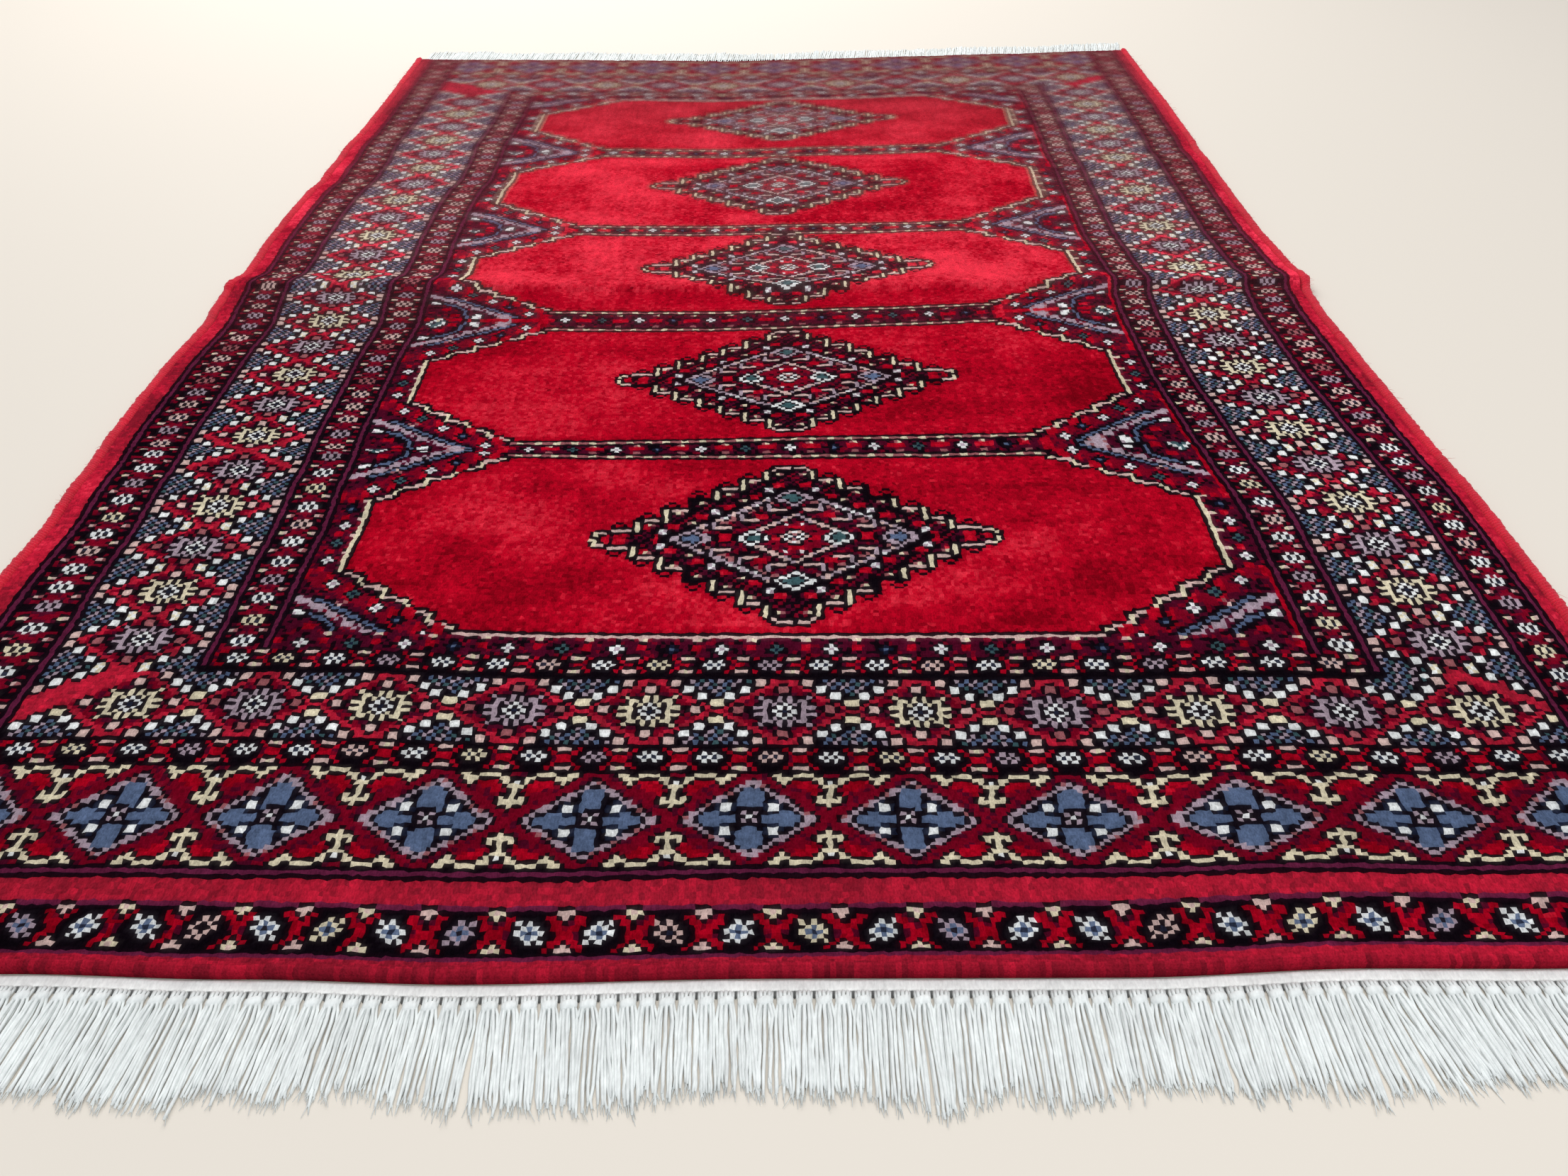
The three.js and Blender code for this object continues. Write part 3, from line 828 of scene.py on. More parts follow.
@dataclass
class Medallion:
    """The stepped medallion in the middle of a compartment."""

    chart: Chart
    col: float
    row: float
    tall: float = 1.0
    steps: int = 6
    step_run: float = 6.6
    step_rise: float = 4.3
    first_step: float = 6.0
    top: float = 29.0
    outer_half: Pair = (31.0, 20.0)
    inner_half: Pair = (15.0, 10.2)

    def knot(self) -> None:
        """Knots the medallion from its ground up."""
        self.treads = [(self.first_step + step * self.step_run, self.top - step * self.step_rise)
                       for step in range(self.steps)]
        pens = [Pen(self.chart, self.col, self.row, *quarter, self.tall) for quarter in QUARTERS]
        self.ground(pens)
        for pen in pens:
            self.outline(pen)
        self.diamonds(pens)

    def ground(self, pens: Sequence[Pen]) -> None:
        """The dark ground inside the stepped outline, out to its looped tips, with its red pockets."""
        chart = self.chart
        x, y = np.abs(chart.cols - self.col), np.abs(chart.rows - self.row) / self.tall
        inside = np.zeros(x.shape, bool)
        for wide, high in [(46, 4), (6, 30)] + self.treads:
            inside |= (x <= wide) & (y <= high)
        speckled = (chart.cols * 3 + chart.rows * 5) % 8
        for mask, yarn in ((inside, Yarn.MAROON), (inside & (speckled < 4), Yarn.BLACK),
                           (inside & (speckled == 6), Yarn.WINE)):
            chart.paint(mask, yarn)
        for pen in pens:
            for place in ((3.5, 22), (9.8, 17.2), (16.5, 12.6), (23.0, 9.2), (30.5, 5.4), (37.5, 5.0),
                          (33.5, 1.0), (43.0, 1.0)):
                pen.put(POCKET, *place, None)

    def outline(self, pen: Pen) -> None:
        """A quarter of the stepped outline: dull treads, ivory risers and a small dot outside each step."""
        points = [(0.0, 30.6), (3.6, 30.4), (5.4, self.top)]
        for x, y in self.treads:
            points += [(x, y), (x, y - self.step_rise)]
        points += [(45.5, points[-1][1]), (49.0, 2.2), (50.0, 0.0)]
        pen.draw(points, Yarn.PINK, 0.7, Yarn.BLACK)
        for step, (x, y) in enumerate(self.treads):
            pen.draw([(x, y - 0.4), (x, y - self.step_rise + 0.2)], Yarn.IVORY, 0.9, Yarn.BLACK)
            pen.put("RR", x + 4.6, y - self.step_rise / 2 - 0.2)
            if step:
                pen.put("LW WL" if step % 2 else "IO", x - 6.4, y - self.step_rise - 0.6)
            pen.put("OI", x - 3.2, y - self.step_rise + 2.6, None)
        pen.draw([(49.0, 2.4), (50.0, 0.0)], Yarn.IVORY, 1.0)

    def diamonds(self, pens: Sequence[Pen]) -> None:
        """The lilac diamond with latch hooks, the diamonds at its tips and inside it, and the heart."""
        chart, col, row = self.chart, self.col, self.row
        rope, mesh, specks = ((chart.cols + chart.rows * 2) % 9, (chart.cols + chart.rows) % 4,
                              (chart.cols * 2 + chart.rows * 3) % 7)
        outer = chart.diamond(col, row, self.outer_half[0], self.outer_half[1] * self.tall)
        chart.nest(outer, (1.12, Yarn.BLACK), (1.03, Yarn.LILAC), (1.03, Yarn.PINK, rope < 3),
                   (1.03, Yarn.WHITE, rope == 5), (0.965, Yarn.BLACK), (0.92, Yarn.ROSE, mesh > 0),
                   (0.86, Yarn.WINE), (0.85, Yarn.MAROON, specks < 3), (0.85, Yarn.BLACK, specks == 5))
        for pen in pens:
            for place in ((4.6, 12.0), (11.4, 8.6), (18.0, 5.2)):
                pen.put(HOOK, *place)
            pen.put(POCKET, 8.6, 8.6, None)
        for turn in BOTH:
            self.tip(25.6 * turn, 0, (5.4, 3.9), Yarn.LILAC, Yarn.SLATE)
            self.tip(0, 16.6 * turn, (5.0, 3.8), Yarn.LILAC if turn > 0 else Yarn.WHITE, Yarn.TEAL)
            chart.stamp("RRR RRR RRR", col + turn * 17.6, row)
        inner = chart.diamond(col, row, self.inner_half[0], self.inner_half[1] * self.tall)
        chart.nest(inner, (1.12, Yarn.BLACK), (1.0, Yarn.PINK, inner > 0.88),
                   (1.0, Yarn.LILAC, (inner > 0.88) & (mesh == 0)), (0.8, Yarn.WINE),
                   (0.8, Yarn.BLACK, specks == 2))
        for turn in BOTH:
            self.tip(10.6 * turn, 0, (4.2, 3.3), Yarn.WHITE, Yarn.TEAL)
            chart.stamp(POCKET, col + turn * 4.8, row, outline=None)
            chart.stamp("RRRR RRRR", col, row + turn * 4.4, outline=None)
            chart.stamp("W...W", col, row + turn * 5.4, outline=None)
        chart.stamp(MEDALLION_HEART, col, row)

    def tip(self, x: float, y: float, half: Pair, rim: Yarn, core: Yarn) -> None:
        """A small diamond at a place counted from the middle, with its rim and core."""
        near = self.chart.diamond(self.col + x, self.row + y * self.tall, *half)
        self.chart.nest(near, (1.25, Yarn.BLACK), (1.0, rim), (0.7, Yarn.BLACK), (0.5, core))


def new_piece(name: str, points: Array, faces: Sequence[Array],
              layers: dict[str, Array] | None = None, normals: Array | None = None) -> Object:
    """Makes a mesh object with its place in its mesh.

    Args:
        name: The piece's name.
        points: The vertices, a row of X, Y and Z for each.
        faces: Arrays of faces, each with a row of vertex numbers for each face.
        layers: What each corner has, by name: colours in rows of three, or map places in rows of two.
        normals: The direction in which each vertex is shaded, where it isn't worked out from the faces.

    Returns:
        The new object.
    """
    mesh = bpy.data.meshes.new(name)
    corners = np.concatenate([part.reshape(-1) for part in faces]).astype(np.int32)
    sizes = np.concatenate([np.full(len(part), part.shape[1]) for part in faces]).astype(np.int32)
    mesh.vertices.add(len(points))
    mesh.vertices.foreach_set("co", points.astype(np.float32).reshape(-1))
    mesh.loops.add(len(corners))
    mesh.loops.foreach_set("vertex_index", corners)
    mesh.polygons.add(len(sizes))
    mesh.polygons.foreach_set("loop_start", np.concatenate([[0], np.cumsum(sizes)[:-1]]).astype(np.int32))
    mesh.polygons.foreach_set("use_smooth", np.ones(len(sizes), bool))
    mesh.update(calc_edges=True)
    for layer_name, values in (layers or {}).items():
        if values.shape[1] == 3:
            layer = mesh.color_attributes.new(name=layer_name, type="FLOAT_COLOR", domain="CORNER")
            values = np.c_[values, np.ones(len(values))]
        else:
            layer = mesh.uv_layers.new(name=layer_name)
        kind = "color" if values.shape[1] == 4 else "uv"
        layer.data.foreach_set(kind, values.astype(np.float32).reshape(-1))
    mesh.validate()
    if normals is not None:
        mesh.normals_split_custom_set_from_vertices([tuple(normal) for normal in normals])
    piece = bpy.data.objects.new(name, mesh)
    bpy.context.scene.collection.objects.link(piece)
    return piece


class FaceList:
    """The faces of a mesh while it is made, each with its corners' colours and map places."""

    def __init__(self) -> None:
        """Starts with no faces."""
        self.faces: list[Array] = []
        self.layers: dict[str, list[Array]] = {"Yarn": [], "Knots": [], "OFBake": []}

    def add(self, corners: Array, colours: Array, maps: Array, knots: Array) -> None:
        """Adds faces that all have the same number of corners.

        Args:
            corners: The vertex numbers, a row for each face.
            colours: The linear colour of each corner.
            maps: The place of each corner on the bake map.
            knots: The place of each corner in columns and rows of knots.
        """
        self.faces.append(corners)
        for name, values, width in (("Yarn", colours, 3), ("Knots", knots, 2), ("OFBake", maps, 2)):
            self.layers[name].append(values.reshape(-1, width))

    def close(self, ring: Array, numbers: Array, is_below: bool, tone: Array, u: float,
              v: Array) -> None:
        """Closes a slab with hidden faces: a long one for each row of its grid, and one for each end.

        Args:
            ring: The edge places of the slab's grid, as rows and columns.
            numbers: The vertex at each of them.
            is_below: Whether the faces look down.
            tone: Their colour.
            u: Their place across the bake map.
            v: The place of each row along the bake map.
        """
        number = {(int(row), int(col)): int(vertex) for (row, col), vertex in zip(ring, numbers)}
        rows, cols = (int(last) for last in ring.max(0))
        strips = [[(row, 0), (row, cols), (row + 1, cols), (row + 1, 0)] for row in range(1, rows - 1)]
        if is_below:
            strips = [strip[:1] + strip[:0:-1] for strip in strips]
        for row, inner, way in ((0, 1, 1), (rows, rows - 1, -1)):
            line = range(cols + 1)[:: -way if is_below else way]
            strips.append([(row, col) for col in line] + [(inner, line[-1]), (inner, line[0])])
        for strip, height in zip(strips, [*v[1:-1], v[0], v[-1]]):
            turns = np.linspace(0, 2 * np.pi, len(strip), endpoint=False)
            maps = np.stack([u + 0.004 * np.cos(turns), height + 0.002 * np.sin(turns)], -1)
            corners = np.array([[number[place] for place in strip]])
            self.add(corners, np.tile(tone, (len(strip), 1)), maps, np.zeros((len(strip), 2)))

    def build(self, name: str, points: Array, normals: Array | None = None) -> Object:
        """Makes the mesh object from its vertices and, where given, the directions of their shading."""
        layers = {layer: np.concatenate(values) for layer, values in self.layers.items()}
        return new_piece(name, points, self.faces, layers, normals)


def walk_round(rows: int, cols: int) -> Array:
    """The edge places of a grid, as rows and columns, from its near left corner along its near side."""
    near, right = [(0, col) for col in range(cols)], [(row, cols) for row in range(rows)]
    far, left = [(rows, cols - col) for _, col in near], [(rows - row, 0) for row, _ in right]
    return np.array(near + right + far + left)


def cell_corners(rows: int, cols: int, is_below: bool) -> tuple[Array, Array, Array]:
    """The four corners of each cell of a grid, in the order of a face that looks up or down.

    Args:
        rows: How many rows of cells it has.
        cols: How many columns of cells it has.
        is_below: Whether the faces look down.

    Returns:
        The corners' rows, their columns and their vertex numbers, each with a row of four for each cell.
    """
    row, col = np.mgrid[0:rows, 0:cols]
    steps = ((0, 0), (1, 0), (1, 1), (0, 1)) if is_below else ((0, 0), (0, 1), (1, 1), (1, 0))
    corner_rows = np.stack([row + step[0] for step in steps], -1).reshape(-1, 4)
    corner_cols = np.stack([col + step[1] for step in steps], -1).reshape(-1, 4)
    return corner_rows, corner_cols, corner_rows * (cols + 1) + corner_cols


def meeting(knots: Array) -> Array:
    """The mean of the knots that meet at each corner between them."""
    padded = np.pad(knots, [(1, 1), (1, 1)] + [(0, 0)] * (knots.ndim - 2), mode="edge")
    return (padded[:-1, :-1] + padded[1:, :-1] + padded[:-1, 1:] + padded[1:, 1:]) / 4


@dataclass
class KnottedCloth:
    """The pile and its foundation. The pile is made in bands across the rug, so that each knot keeps its
    own colour and height, and the woven back in two lengths."""

    pattern: Chart
    bands: int = 6
    back_lengths: int = 2
    knots_per_back_cell: int = 3
    shoulder: float = 0.0052
    shoulder_inset: float = 0.002
    foot: float = 0.0012
    back_top: float = 0.0018
    sway: float = 0.24
    tuft_rise: float = 0.00028
    worn_dark: float = 0.0005
    crispness: float = 0.78
    worn_share: float = 0.85
    # The pinkish grey of the painted sheen haze towards the far end, where it starts and how strong it grows
    sheen_haze: Triple = srgb(116, 52, 58)
    sheen_haze_from: float = 0.72
    sheen_haze_share: float = 0.62
    dull_haze_share: float = 0.26
    back_cotton: Triple = srgb(206, 196, 184)

    def __post_init__(self) -> None:
        """Works out the vertices, heights and colours that the bands share."""
        self.across, self.along = self.pattern.across, self.pattern.along
        self.tones = self.knot_tones()
        self.corner_tones = self.softened()
        self.points, self.normals = self.surface()

    def spots(self, rows: Array, cols: Array, inset: float) -> Array:
        """Points of the cloth's underside at places in the chart, with the weave's wander."""
        to_right, onwards = wander(cols, rows, self.across)
        along = np.clip((rows + onwards) / self.along, 0, 1) * PLAN.pile_length
        return PLAN.place((cols + to_right) / self.across, along, inset)

    def knot_tones(self) -> Array:
        """The colour of each knot: its yarn's, a little lighter or darker from dye lot and row, with painted
        light, shade and sheen, and a painted sheen haze towards the far end.

        Returns:
            A linear colour for each row and column.
        """
        rng = np.random.default_rng(SEED)
        grid, shape = self.pattern.grid, self.pattern.grid.shape
        rows, cols = (np.arange(size) / size for size in shape)
        rows = rows[:, None]
        is_red = np.isin(grid, [Yarn.CRIMSON.number, Yarn.BRIGHT.number])
        is_plain = is_red & np.roll(is_red, 2, 0) & np.roll(is_red, -2, 0) & np.roll(is_red, 2, 1)
        clouds = soft_noise(shape, (46, 60), SEED + 2) + 0.8 * soft_noise(shape, (13, 17), SEED + 3)
        streaks = soft_noise(shape, (2.6, 15), SEED + 4) + 0.7 * soft_noise(shape, (9, 2.6), SEED + 9)
        lots = soft_noise((shape[0], 1), (7, 1), SEED + 1)
        factor = 1 + np.where(is_red, 0.21, 0.08) * rng.normal(0, 1, shape) + 0.05 * lots
        factor = factor + np.where(is_plain, 0.46, np.where(is_red, 0.2, 0.06)) * clouds
        factor = factor + np.where(is_red, 0.15, 0.04) * streaks
        # Painted sheen: a lighter patch on the right side, about a third of the way along the rug
        painted_sheen = np.clip((cols - 0.78) / 0.16, 0, 1) * np.exp(-((rows - 0.32) / 0.15) ** 2)
        factor = factor + 0.26 * painted_sheen
        # Painted light and shade along the rug, slanted a little across it: the reds and the wine take all of
        # it, the other yarns half
        nap_light = np.interp(np.arange(shape[0])[:, None] + (cols - 0.5) * 5.7, *zip(*NAP_LIGHT))
        lit = factor * np.where(is_red | (grid == Yarn.WINE.number), nap_light, 0.5 + 0.5 * nap_light)
        tones = np.array([yarn.value[1] for yarn in Yarn])[grid] * np.clip(lit, 0.4, 1.9)[..., None]
        # Painted sheen: a pale pinkish lift on the reds where the painted light is strongest
        tones = tones + (np.clip((lit - 1) * 0.09, 0, 0.06) * is_red)[..., None] * np.array([0.2, 0.5, 0.6])
        # Painted sheen: a faint pinkish grey lift on every bright red knot
        tones = tones + (grid == Yarn.BRIGHT.number)[..., None] * np.array([0.0, 0.006, 0.009])
        return self.blurred_and_hazed(tones, rows, is_red)

    def blurred_and_hazed(self, tones: Array, rows: Array, is_red: Array) -> Array:
        """The same colours, faded into one another towards the far end, where the wool is most worn, and
        mixed there towards a pinkish grey: a painted sheen haze from the light that grazes the far part.
        """
        near_by = tones
        for axis in (0, 1):
            near_by = sum(np.roll(near_by, step, axis) for step in range(-2, 3)) / 5
        share = np.clip((rows - 0.4) / 0.52, 0, 1)[..., None] ** 1.2 * self.worn_share
        tones = tones * (1 - share) + near_by * share
        # Painted sheen haze: the reds take it towards the far end, the other yarns from a third of the way
        # along
        haze_mix = np.clip((rows - self.sheen_haze_from) / (1 - self.sheen_haze_from), 0, 1) ** 0.8 * self.sheen_haze_share
        dull = np.clip((rows - 0.35) / 0.3, 0, 1) * self.dull_haze_share * ~is_red
        haze_mix = np.maximum(haze_mix, dull)[..., None]
        return tones * (1 - haze_mix) + np.array(self.sheen_haze) * haze_mix

    def softened(self) -> Array:
        """The colours of each knot's four corners, softened towards the knots that meet there."""
        tones = np.sqrt(self.tones)
        means = meeting(tones)
        own, corners = self.crispness, (means[:-1, :-1], means[:-1, 1:], means[1:, 1:], means[1:, :-1])
        return np.stack([(own * tones + (1 - own) * corner) ** 2 for corner in corners], 2)

    def surface(self) -> tuple[Array, Array]:
        """The top of the pile at each corner between knots.

        Returns:
            The points, a row and column for each, and the directions in which they are shaded.
        """
        rng = np.random.default_rng(SEED + 6)
        rows, cols = np.mgrid[0 : self.along + 1, 0 : self.across + 1].astype(float)
        inner = (rows > 0) & (rows < self.along) & (cols > 0) & (cols < self.across)
        cols = cols + np.where(inner, rng.uniform(-self.sway, self.sway, cols.shape), 0)
        rows = rows + np.where(inner, rng.uniform(-self.sway, self.sway, rows.shape), 0)
        points = self.spots(rows, cols, self.shoulder_inset)
        dark = np.isin(self.pattern.grid, [Yarn.BLACK.number, Yarn.NAVY.number]).astype(float)
        tufts = rng.normal(0, 0.5, cols.shape) + soft_noise(cols.shape, (5, 4), SEED + 7)
        height = PLAN.pile_thickness + self.tuft_rise * tufts - self.worn_dark * meeting(dark)
        points[..., 2] += height + 0.0004 * soft_noise(cols.shape, (40, 30), SEED + 8)
        normals = np.cross(np.gradient(points, axis=1), np.gradient(points, axis=0))
        return points, normals / np.linalg.norm(normals, axis=-1, keepdims=True)

    def band(self, number: int) -> Object:
        """One band of the pile, closed below by a plain face that the back hides.

        Args:
            number: The band's number from the near end.

        Returns:
            The band.
        """
        low, high = (round(self.along * step / self.bands) for step in (number, number + 1))
        rows, cols = high - low, self.across
        corner_rows, corner_cols, quads = cell_corners(rows, cols, False)
        maps = self.bake_place(corner_cols, corner_rows, corner_cols[:, :1] >= (cols + 1) // 2, rows)
        faces = FaceList()
        faces.add(quads, self.corner_tones[low:high], maps, np.stack([corner_cols, corner_rows + low], -1))
        ring = walk_round(rows, cols)
        at_edge = (ring[:, 1] == 0) | (ring[:, 1] == cols) | np.isin(ring[:, 0] + low, (0, self.along))
        base = np.where(at_edge[:, None], self.spots(ring[:, 0] + low, ring[:, 1], 0.0),
                        self.spots(ring[:, 0] + low, ring[:, 1], self.shoulder_inset))
        lower = [base + np.array([0, 0, height]) for height in (self.shoulder, self.foot)]
        shoulder = (rows + 1) * (cols + 1) + np.arange(len(ring))
        rings = [ring @ (cols + 1, 1), shoulder, shoulder + len(ring)]
        self.walls(faces, ring, rings, rows, low)
        faces.close(ring, rings[-1], True, np.array(Yarn.MAROON.value[1]), 0.991,
                    0.01 + (np.arange(rows) + 0.5) / rows * 0.45)
        run = np.roll(base, -1, 0) - np.roll(base, 1, 0)
        outwards = np.stack([run[:, 1], -run[:, 0], np.zeros(len(run))], -1)
        outwards /= np.maximum(np.linalg.norm(outwards, axis=1, keepdims=True), 1e-9)
        points, normals = (grid[low : high + 1].reshape(-1, 3) for grid in (self.points, self.normals))
        return faces.build(f"pile_{number + 1}", np.concatenate([points] + lower),
                           np.concatenate([normals, outwards, outwards]))

    def bake_place(self, cols: Array, rows: Array, is_right: Array, count: int) -> Array:
        """The place on the bake map: the left half of the band below and the right half above.

        Args:
            cols: Columns of knots, which may run two past either side for the rim.
            rows: Rows of knots in the band, likewise.
            is_right: Whether the corner belongs to the band's right half.
            count: How many rows the band has.

        Returns:
            The two map values for each corner.
        """
        half, margin, used = (self.across + 1) // 2, 0.016, 0.468
        u = margin + (cols - np.where(is_right, half - 1, 0)) / half * (1 - 2 * margin)
        v = margin + rows / count * used + np.where(is_right, 0.5, 0.0)
        return np.stack([u, v], -1)

    def walls(self, faces: FaceList, ring: Array, rings: list[Array], rows: int, low: int) -> None:
        """Adds the rounded rim of a band: two rows of faces all round it, darkened towards the foot as
        painted shade.

        Args:
            faces: The band's faces.
            ring: The edge places of its grid, as rows and columns.
            rings: The vertex numbers there, at the top, the shoulder and the foot.
            rows: How many rows of knots the band has.
            low: Its first row of knots.
        """
        after = np.roll(ring, -1, 0)
        first = np.minimum(ring, after)
        knots = np.minimum(first + (low, 0), (self.along - 1, self.across - 1))
        tones = self.tones[tuple(knots.T)]
        is_right = (ring[:, 1] + after[:, 1]) / 2 > (self.across + 1) // 2 - 0.25
        # Painted shade: the rim's colours darken to 0.8 at the shoulder and 0.5 at the foot
        for level, painted_rim_shade in enumerate(((1.0, 0.8, 0.8, 1.0), (0.8, 0.5, 0.5, 0.8))):
            upper, under = rings[level], rings[level + 1]
            quads = np.stack([upper, under, np.roll(under, -1), np.roll(upper, -1)], -1)
            places = []
            for corner, depth in ((ring, level), (ring, level + 1), (after, level + 1), (after, level)):
                away = np.sign(corner - np.array([rows / 2, self.across / 2])) * depth * 1.1
                places.append(corner + away * ((corner == 0) | (corner == (rows, self.across))))
            at_rows, at_cols = np.moveaxis(np.stack(places, 1), -1, 0)
            maps = self.bake_place(at_cols, at_rows, is_right[:, None], rows)
            colours = tones[:, None] * np.array(painted_rim_shade)[:, None]
            faces.add(quads, colours, maps, np.stack([at_cols, at_rows + low], -1))

    def build_pile(self) -> list[Object]:
        """Makes every band of the pile, from the near end."""
        return [self.band(number) for number in range(self.bands)]

    def build_back(self) -> list[Object]:
        """Makes the lengths of the woven back, on which the knots show as the pattern seen from behind."""
        cell = self.knots_per_back_cell
        rows, cols = self.along // cell, self.across // cell
        tones = self.tones[: rows * cell, : cols * cell].reshape(rows, cell, cols, cell, 3)
        tones = tones[:, 1, :, 1] * 0.55 + tones.mean((1, 3)) * 0.3 + 0.035
        cuts = [round(rows * number / self.back_lengths) for number in range(self.back_lengths + 1)]
        return [self.back_length(number, low, tones[low:high])
                for number, (low, high) in enumerate(zip(cuts, cuts[1:]), 1)]

    def back_length(self, number: int, low: int, tones: Array) -> Object:
        """One length of the back, a thin closed slab.

        Args:
            number: Its number from the near end.
            low: Its first row of cells.
            tones: The colour of each of its cells.

        Returns:
            The length of back.
        """
        cell, (rows, cols) = self.knots_per_back_cell, tones.shape[:2]
        grid_rows, grid_cols = np.mgrid[0 : rows + 1, 0 : cols + 1].astype(float)
        below = self.spots((grid_rows + low) * cell, grid_cols * cell, self.shoulder_inset / 2)
        corner_rows, corner_cols, quads = cell_corners(rows, cols, True)
        used, margin = 0.96, 0.02
        maps = np.stack([margin + used * corner_cols / cols, margin + used * corner_rows / rows], -1)
        knots = np.stack([corner_cols * cell, (corner_rows + low) * cell], -1)
        faces = FaceList()
        faces.add(quads, np.repeat(tones.reshape(-1, 1, 3), 4, 1), maps, knots)
        ring = walk_round(rows, cols)
        lower, upper = ring @ (cols + 1, 1), below[..., 0].size + np.arange(len(ring))
        walls = np.stack([lower, np.roll(lower, -1), np.roll(upper, -1), upper], -1)
        turn, step = np.arange(len(ring)) / len(ring), 1 / len(ring)
        strip = np.stack([np.stack([turn + on, np.full_like(turn, high)], -1)
                          for on, high in ((0, 0.002), (step, 0.002), (step, 0.012), (0, 0.012))], 1)
        cotton = np.array(self.back_cotton)
        faces.add(walls, np.tile(cotton, (walls.size, 1)), np.clip(strip, 0, 1), np.zeros((walls.size, 2)))
        faces.close(ring, upper, False, cotton, 0.99, 0.03 + 0.94 * np.r_[np.arange(rows - 1) / rows, 1.0])
        above = below[tuple(ring.T)] + np.array([0, 0, self.back_top])
        return faces.build(f"back_{number}", np.concatenate([below.reshape(-1, 3), above]))


@dataclass
class Tubes:
    """Tubes joined into one mesh: each is a stack of rings with the same number of points."""

    points: list[Array] = field(default_factory=list)
    sides: list[Array] = field(default_factory=list)
    ends: list[Array] = field(default_factory=list)
    count: int = 0

    def add(self, rings: Array) -> None:
        """Adds tubes of one kind, turned so that their faces point outwards.

        Args:
            rings: The points, as tube, ring, side and X, Y, Z.
        """
        first, second = rings[:, 0], rings[:, 1]
        normal = np.cross(first[:, 1] - first[:, 0], second[:, 0] - first[:, 0])
        is_outward = np.einsum("ij,ij->i", normal, first[:, 0] - first.mean(1)) > 0
        rings = np.where(is_outward[:, None, None, None], rings, rings[:, :, ::-1])
        index = self.count + np.arange(rings[..., 0].size).reshape(rings.shape[:3])
        after = np.roll(index, -1, 2)
        quads = np.stack([index[:, :-1], after[:, :-1], after[:, 1:], index[:, 1:]], -1)
        self.sides.append(quads.reshape(-1, 4))
        self.ends += [index[:, 0, ::-1], index[:, -1]]
        self.points.append(rings.reshape(-1, 3))
        self.count += index.size

    def build(self, name: str) -> Object:
        """Makes the mesh object of all the tubes, each closed at both ends."""
        return new_piece(name, np.concatenate(self.points), self.sides + self.ends)


def template(name: str) -> Array:
    """Names the object being modelled and removes it, for its vertices as rows of X, Y and Z."""
    piece = bpy.context.object
    piece.name = name
    mesh = piece.data
    points = np.array([tuple(vertex.co) for vertex in mesh.vertices])
    bpy.data.objects.remove(piece)
    bpy.data.meshes.remove(mesh)
    return points


def circle(name: str, sides: int) -> Array:
    """The points of a circle of unit radius, as rows of X and Y that turn left."""
    bpy.ops.mesh.primitive_circle_add(vertices=sides, radius=1.0, location=(0, 0, 0))
    points = template(name)[:, :2]
    return points[np.argsort(np.arctan2(points[:, 1], points[:, 0]))]


def ring_round(middle: Array, direction: Array, radius: float | Array, sides: int) -> Array:
    """Rings of points round places, square to directions.

    Args:
        middle: The places, a row for each.
        direction: The way that each tube runs there.
        radius: The rings' radius, one for all or one each.
        sides: How many points a ring has.

    Returns:
        The points, as place, side and X, Y, Z.
    """
    unit = direction / np.maximum(np.linalg.norm(direction, axis=1, keepdims=True), 1e-9)
    across = np.cross(unit, np.array([0.0, 0.0, 1.0]))
    across[np.linalg.norm(across, axis=1) < 1e-6] = np.array([1.0, 0.0, 0.0])
    across /= np.linalg.norm(across, axis=1, keepdims=True)
    up = np.cross(across, unit)
    turns = np.linspace(0, 2 * np.pi, sides, endpoint=False)
    size = np.broadcast_to(radius, len(middle))[:, None, None]
    spread = across[:, None] * np.cos(turns)[None, :, None] + up[:, None] * np.sin(turns)[None, :, None]
    return middle[:, None] + spread * size


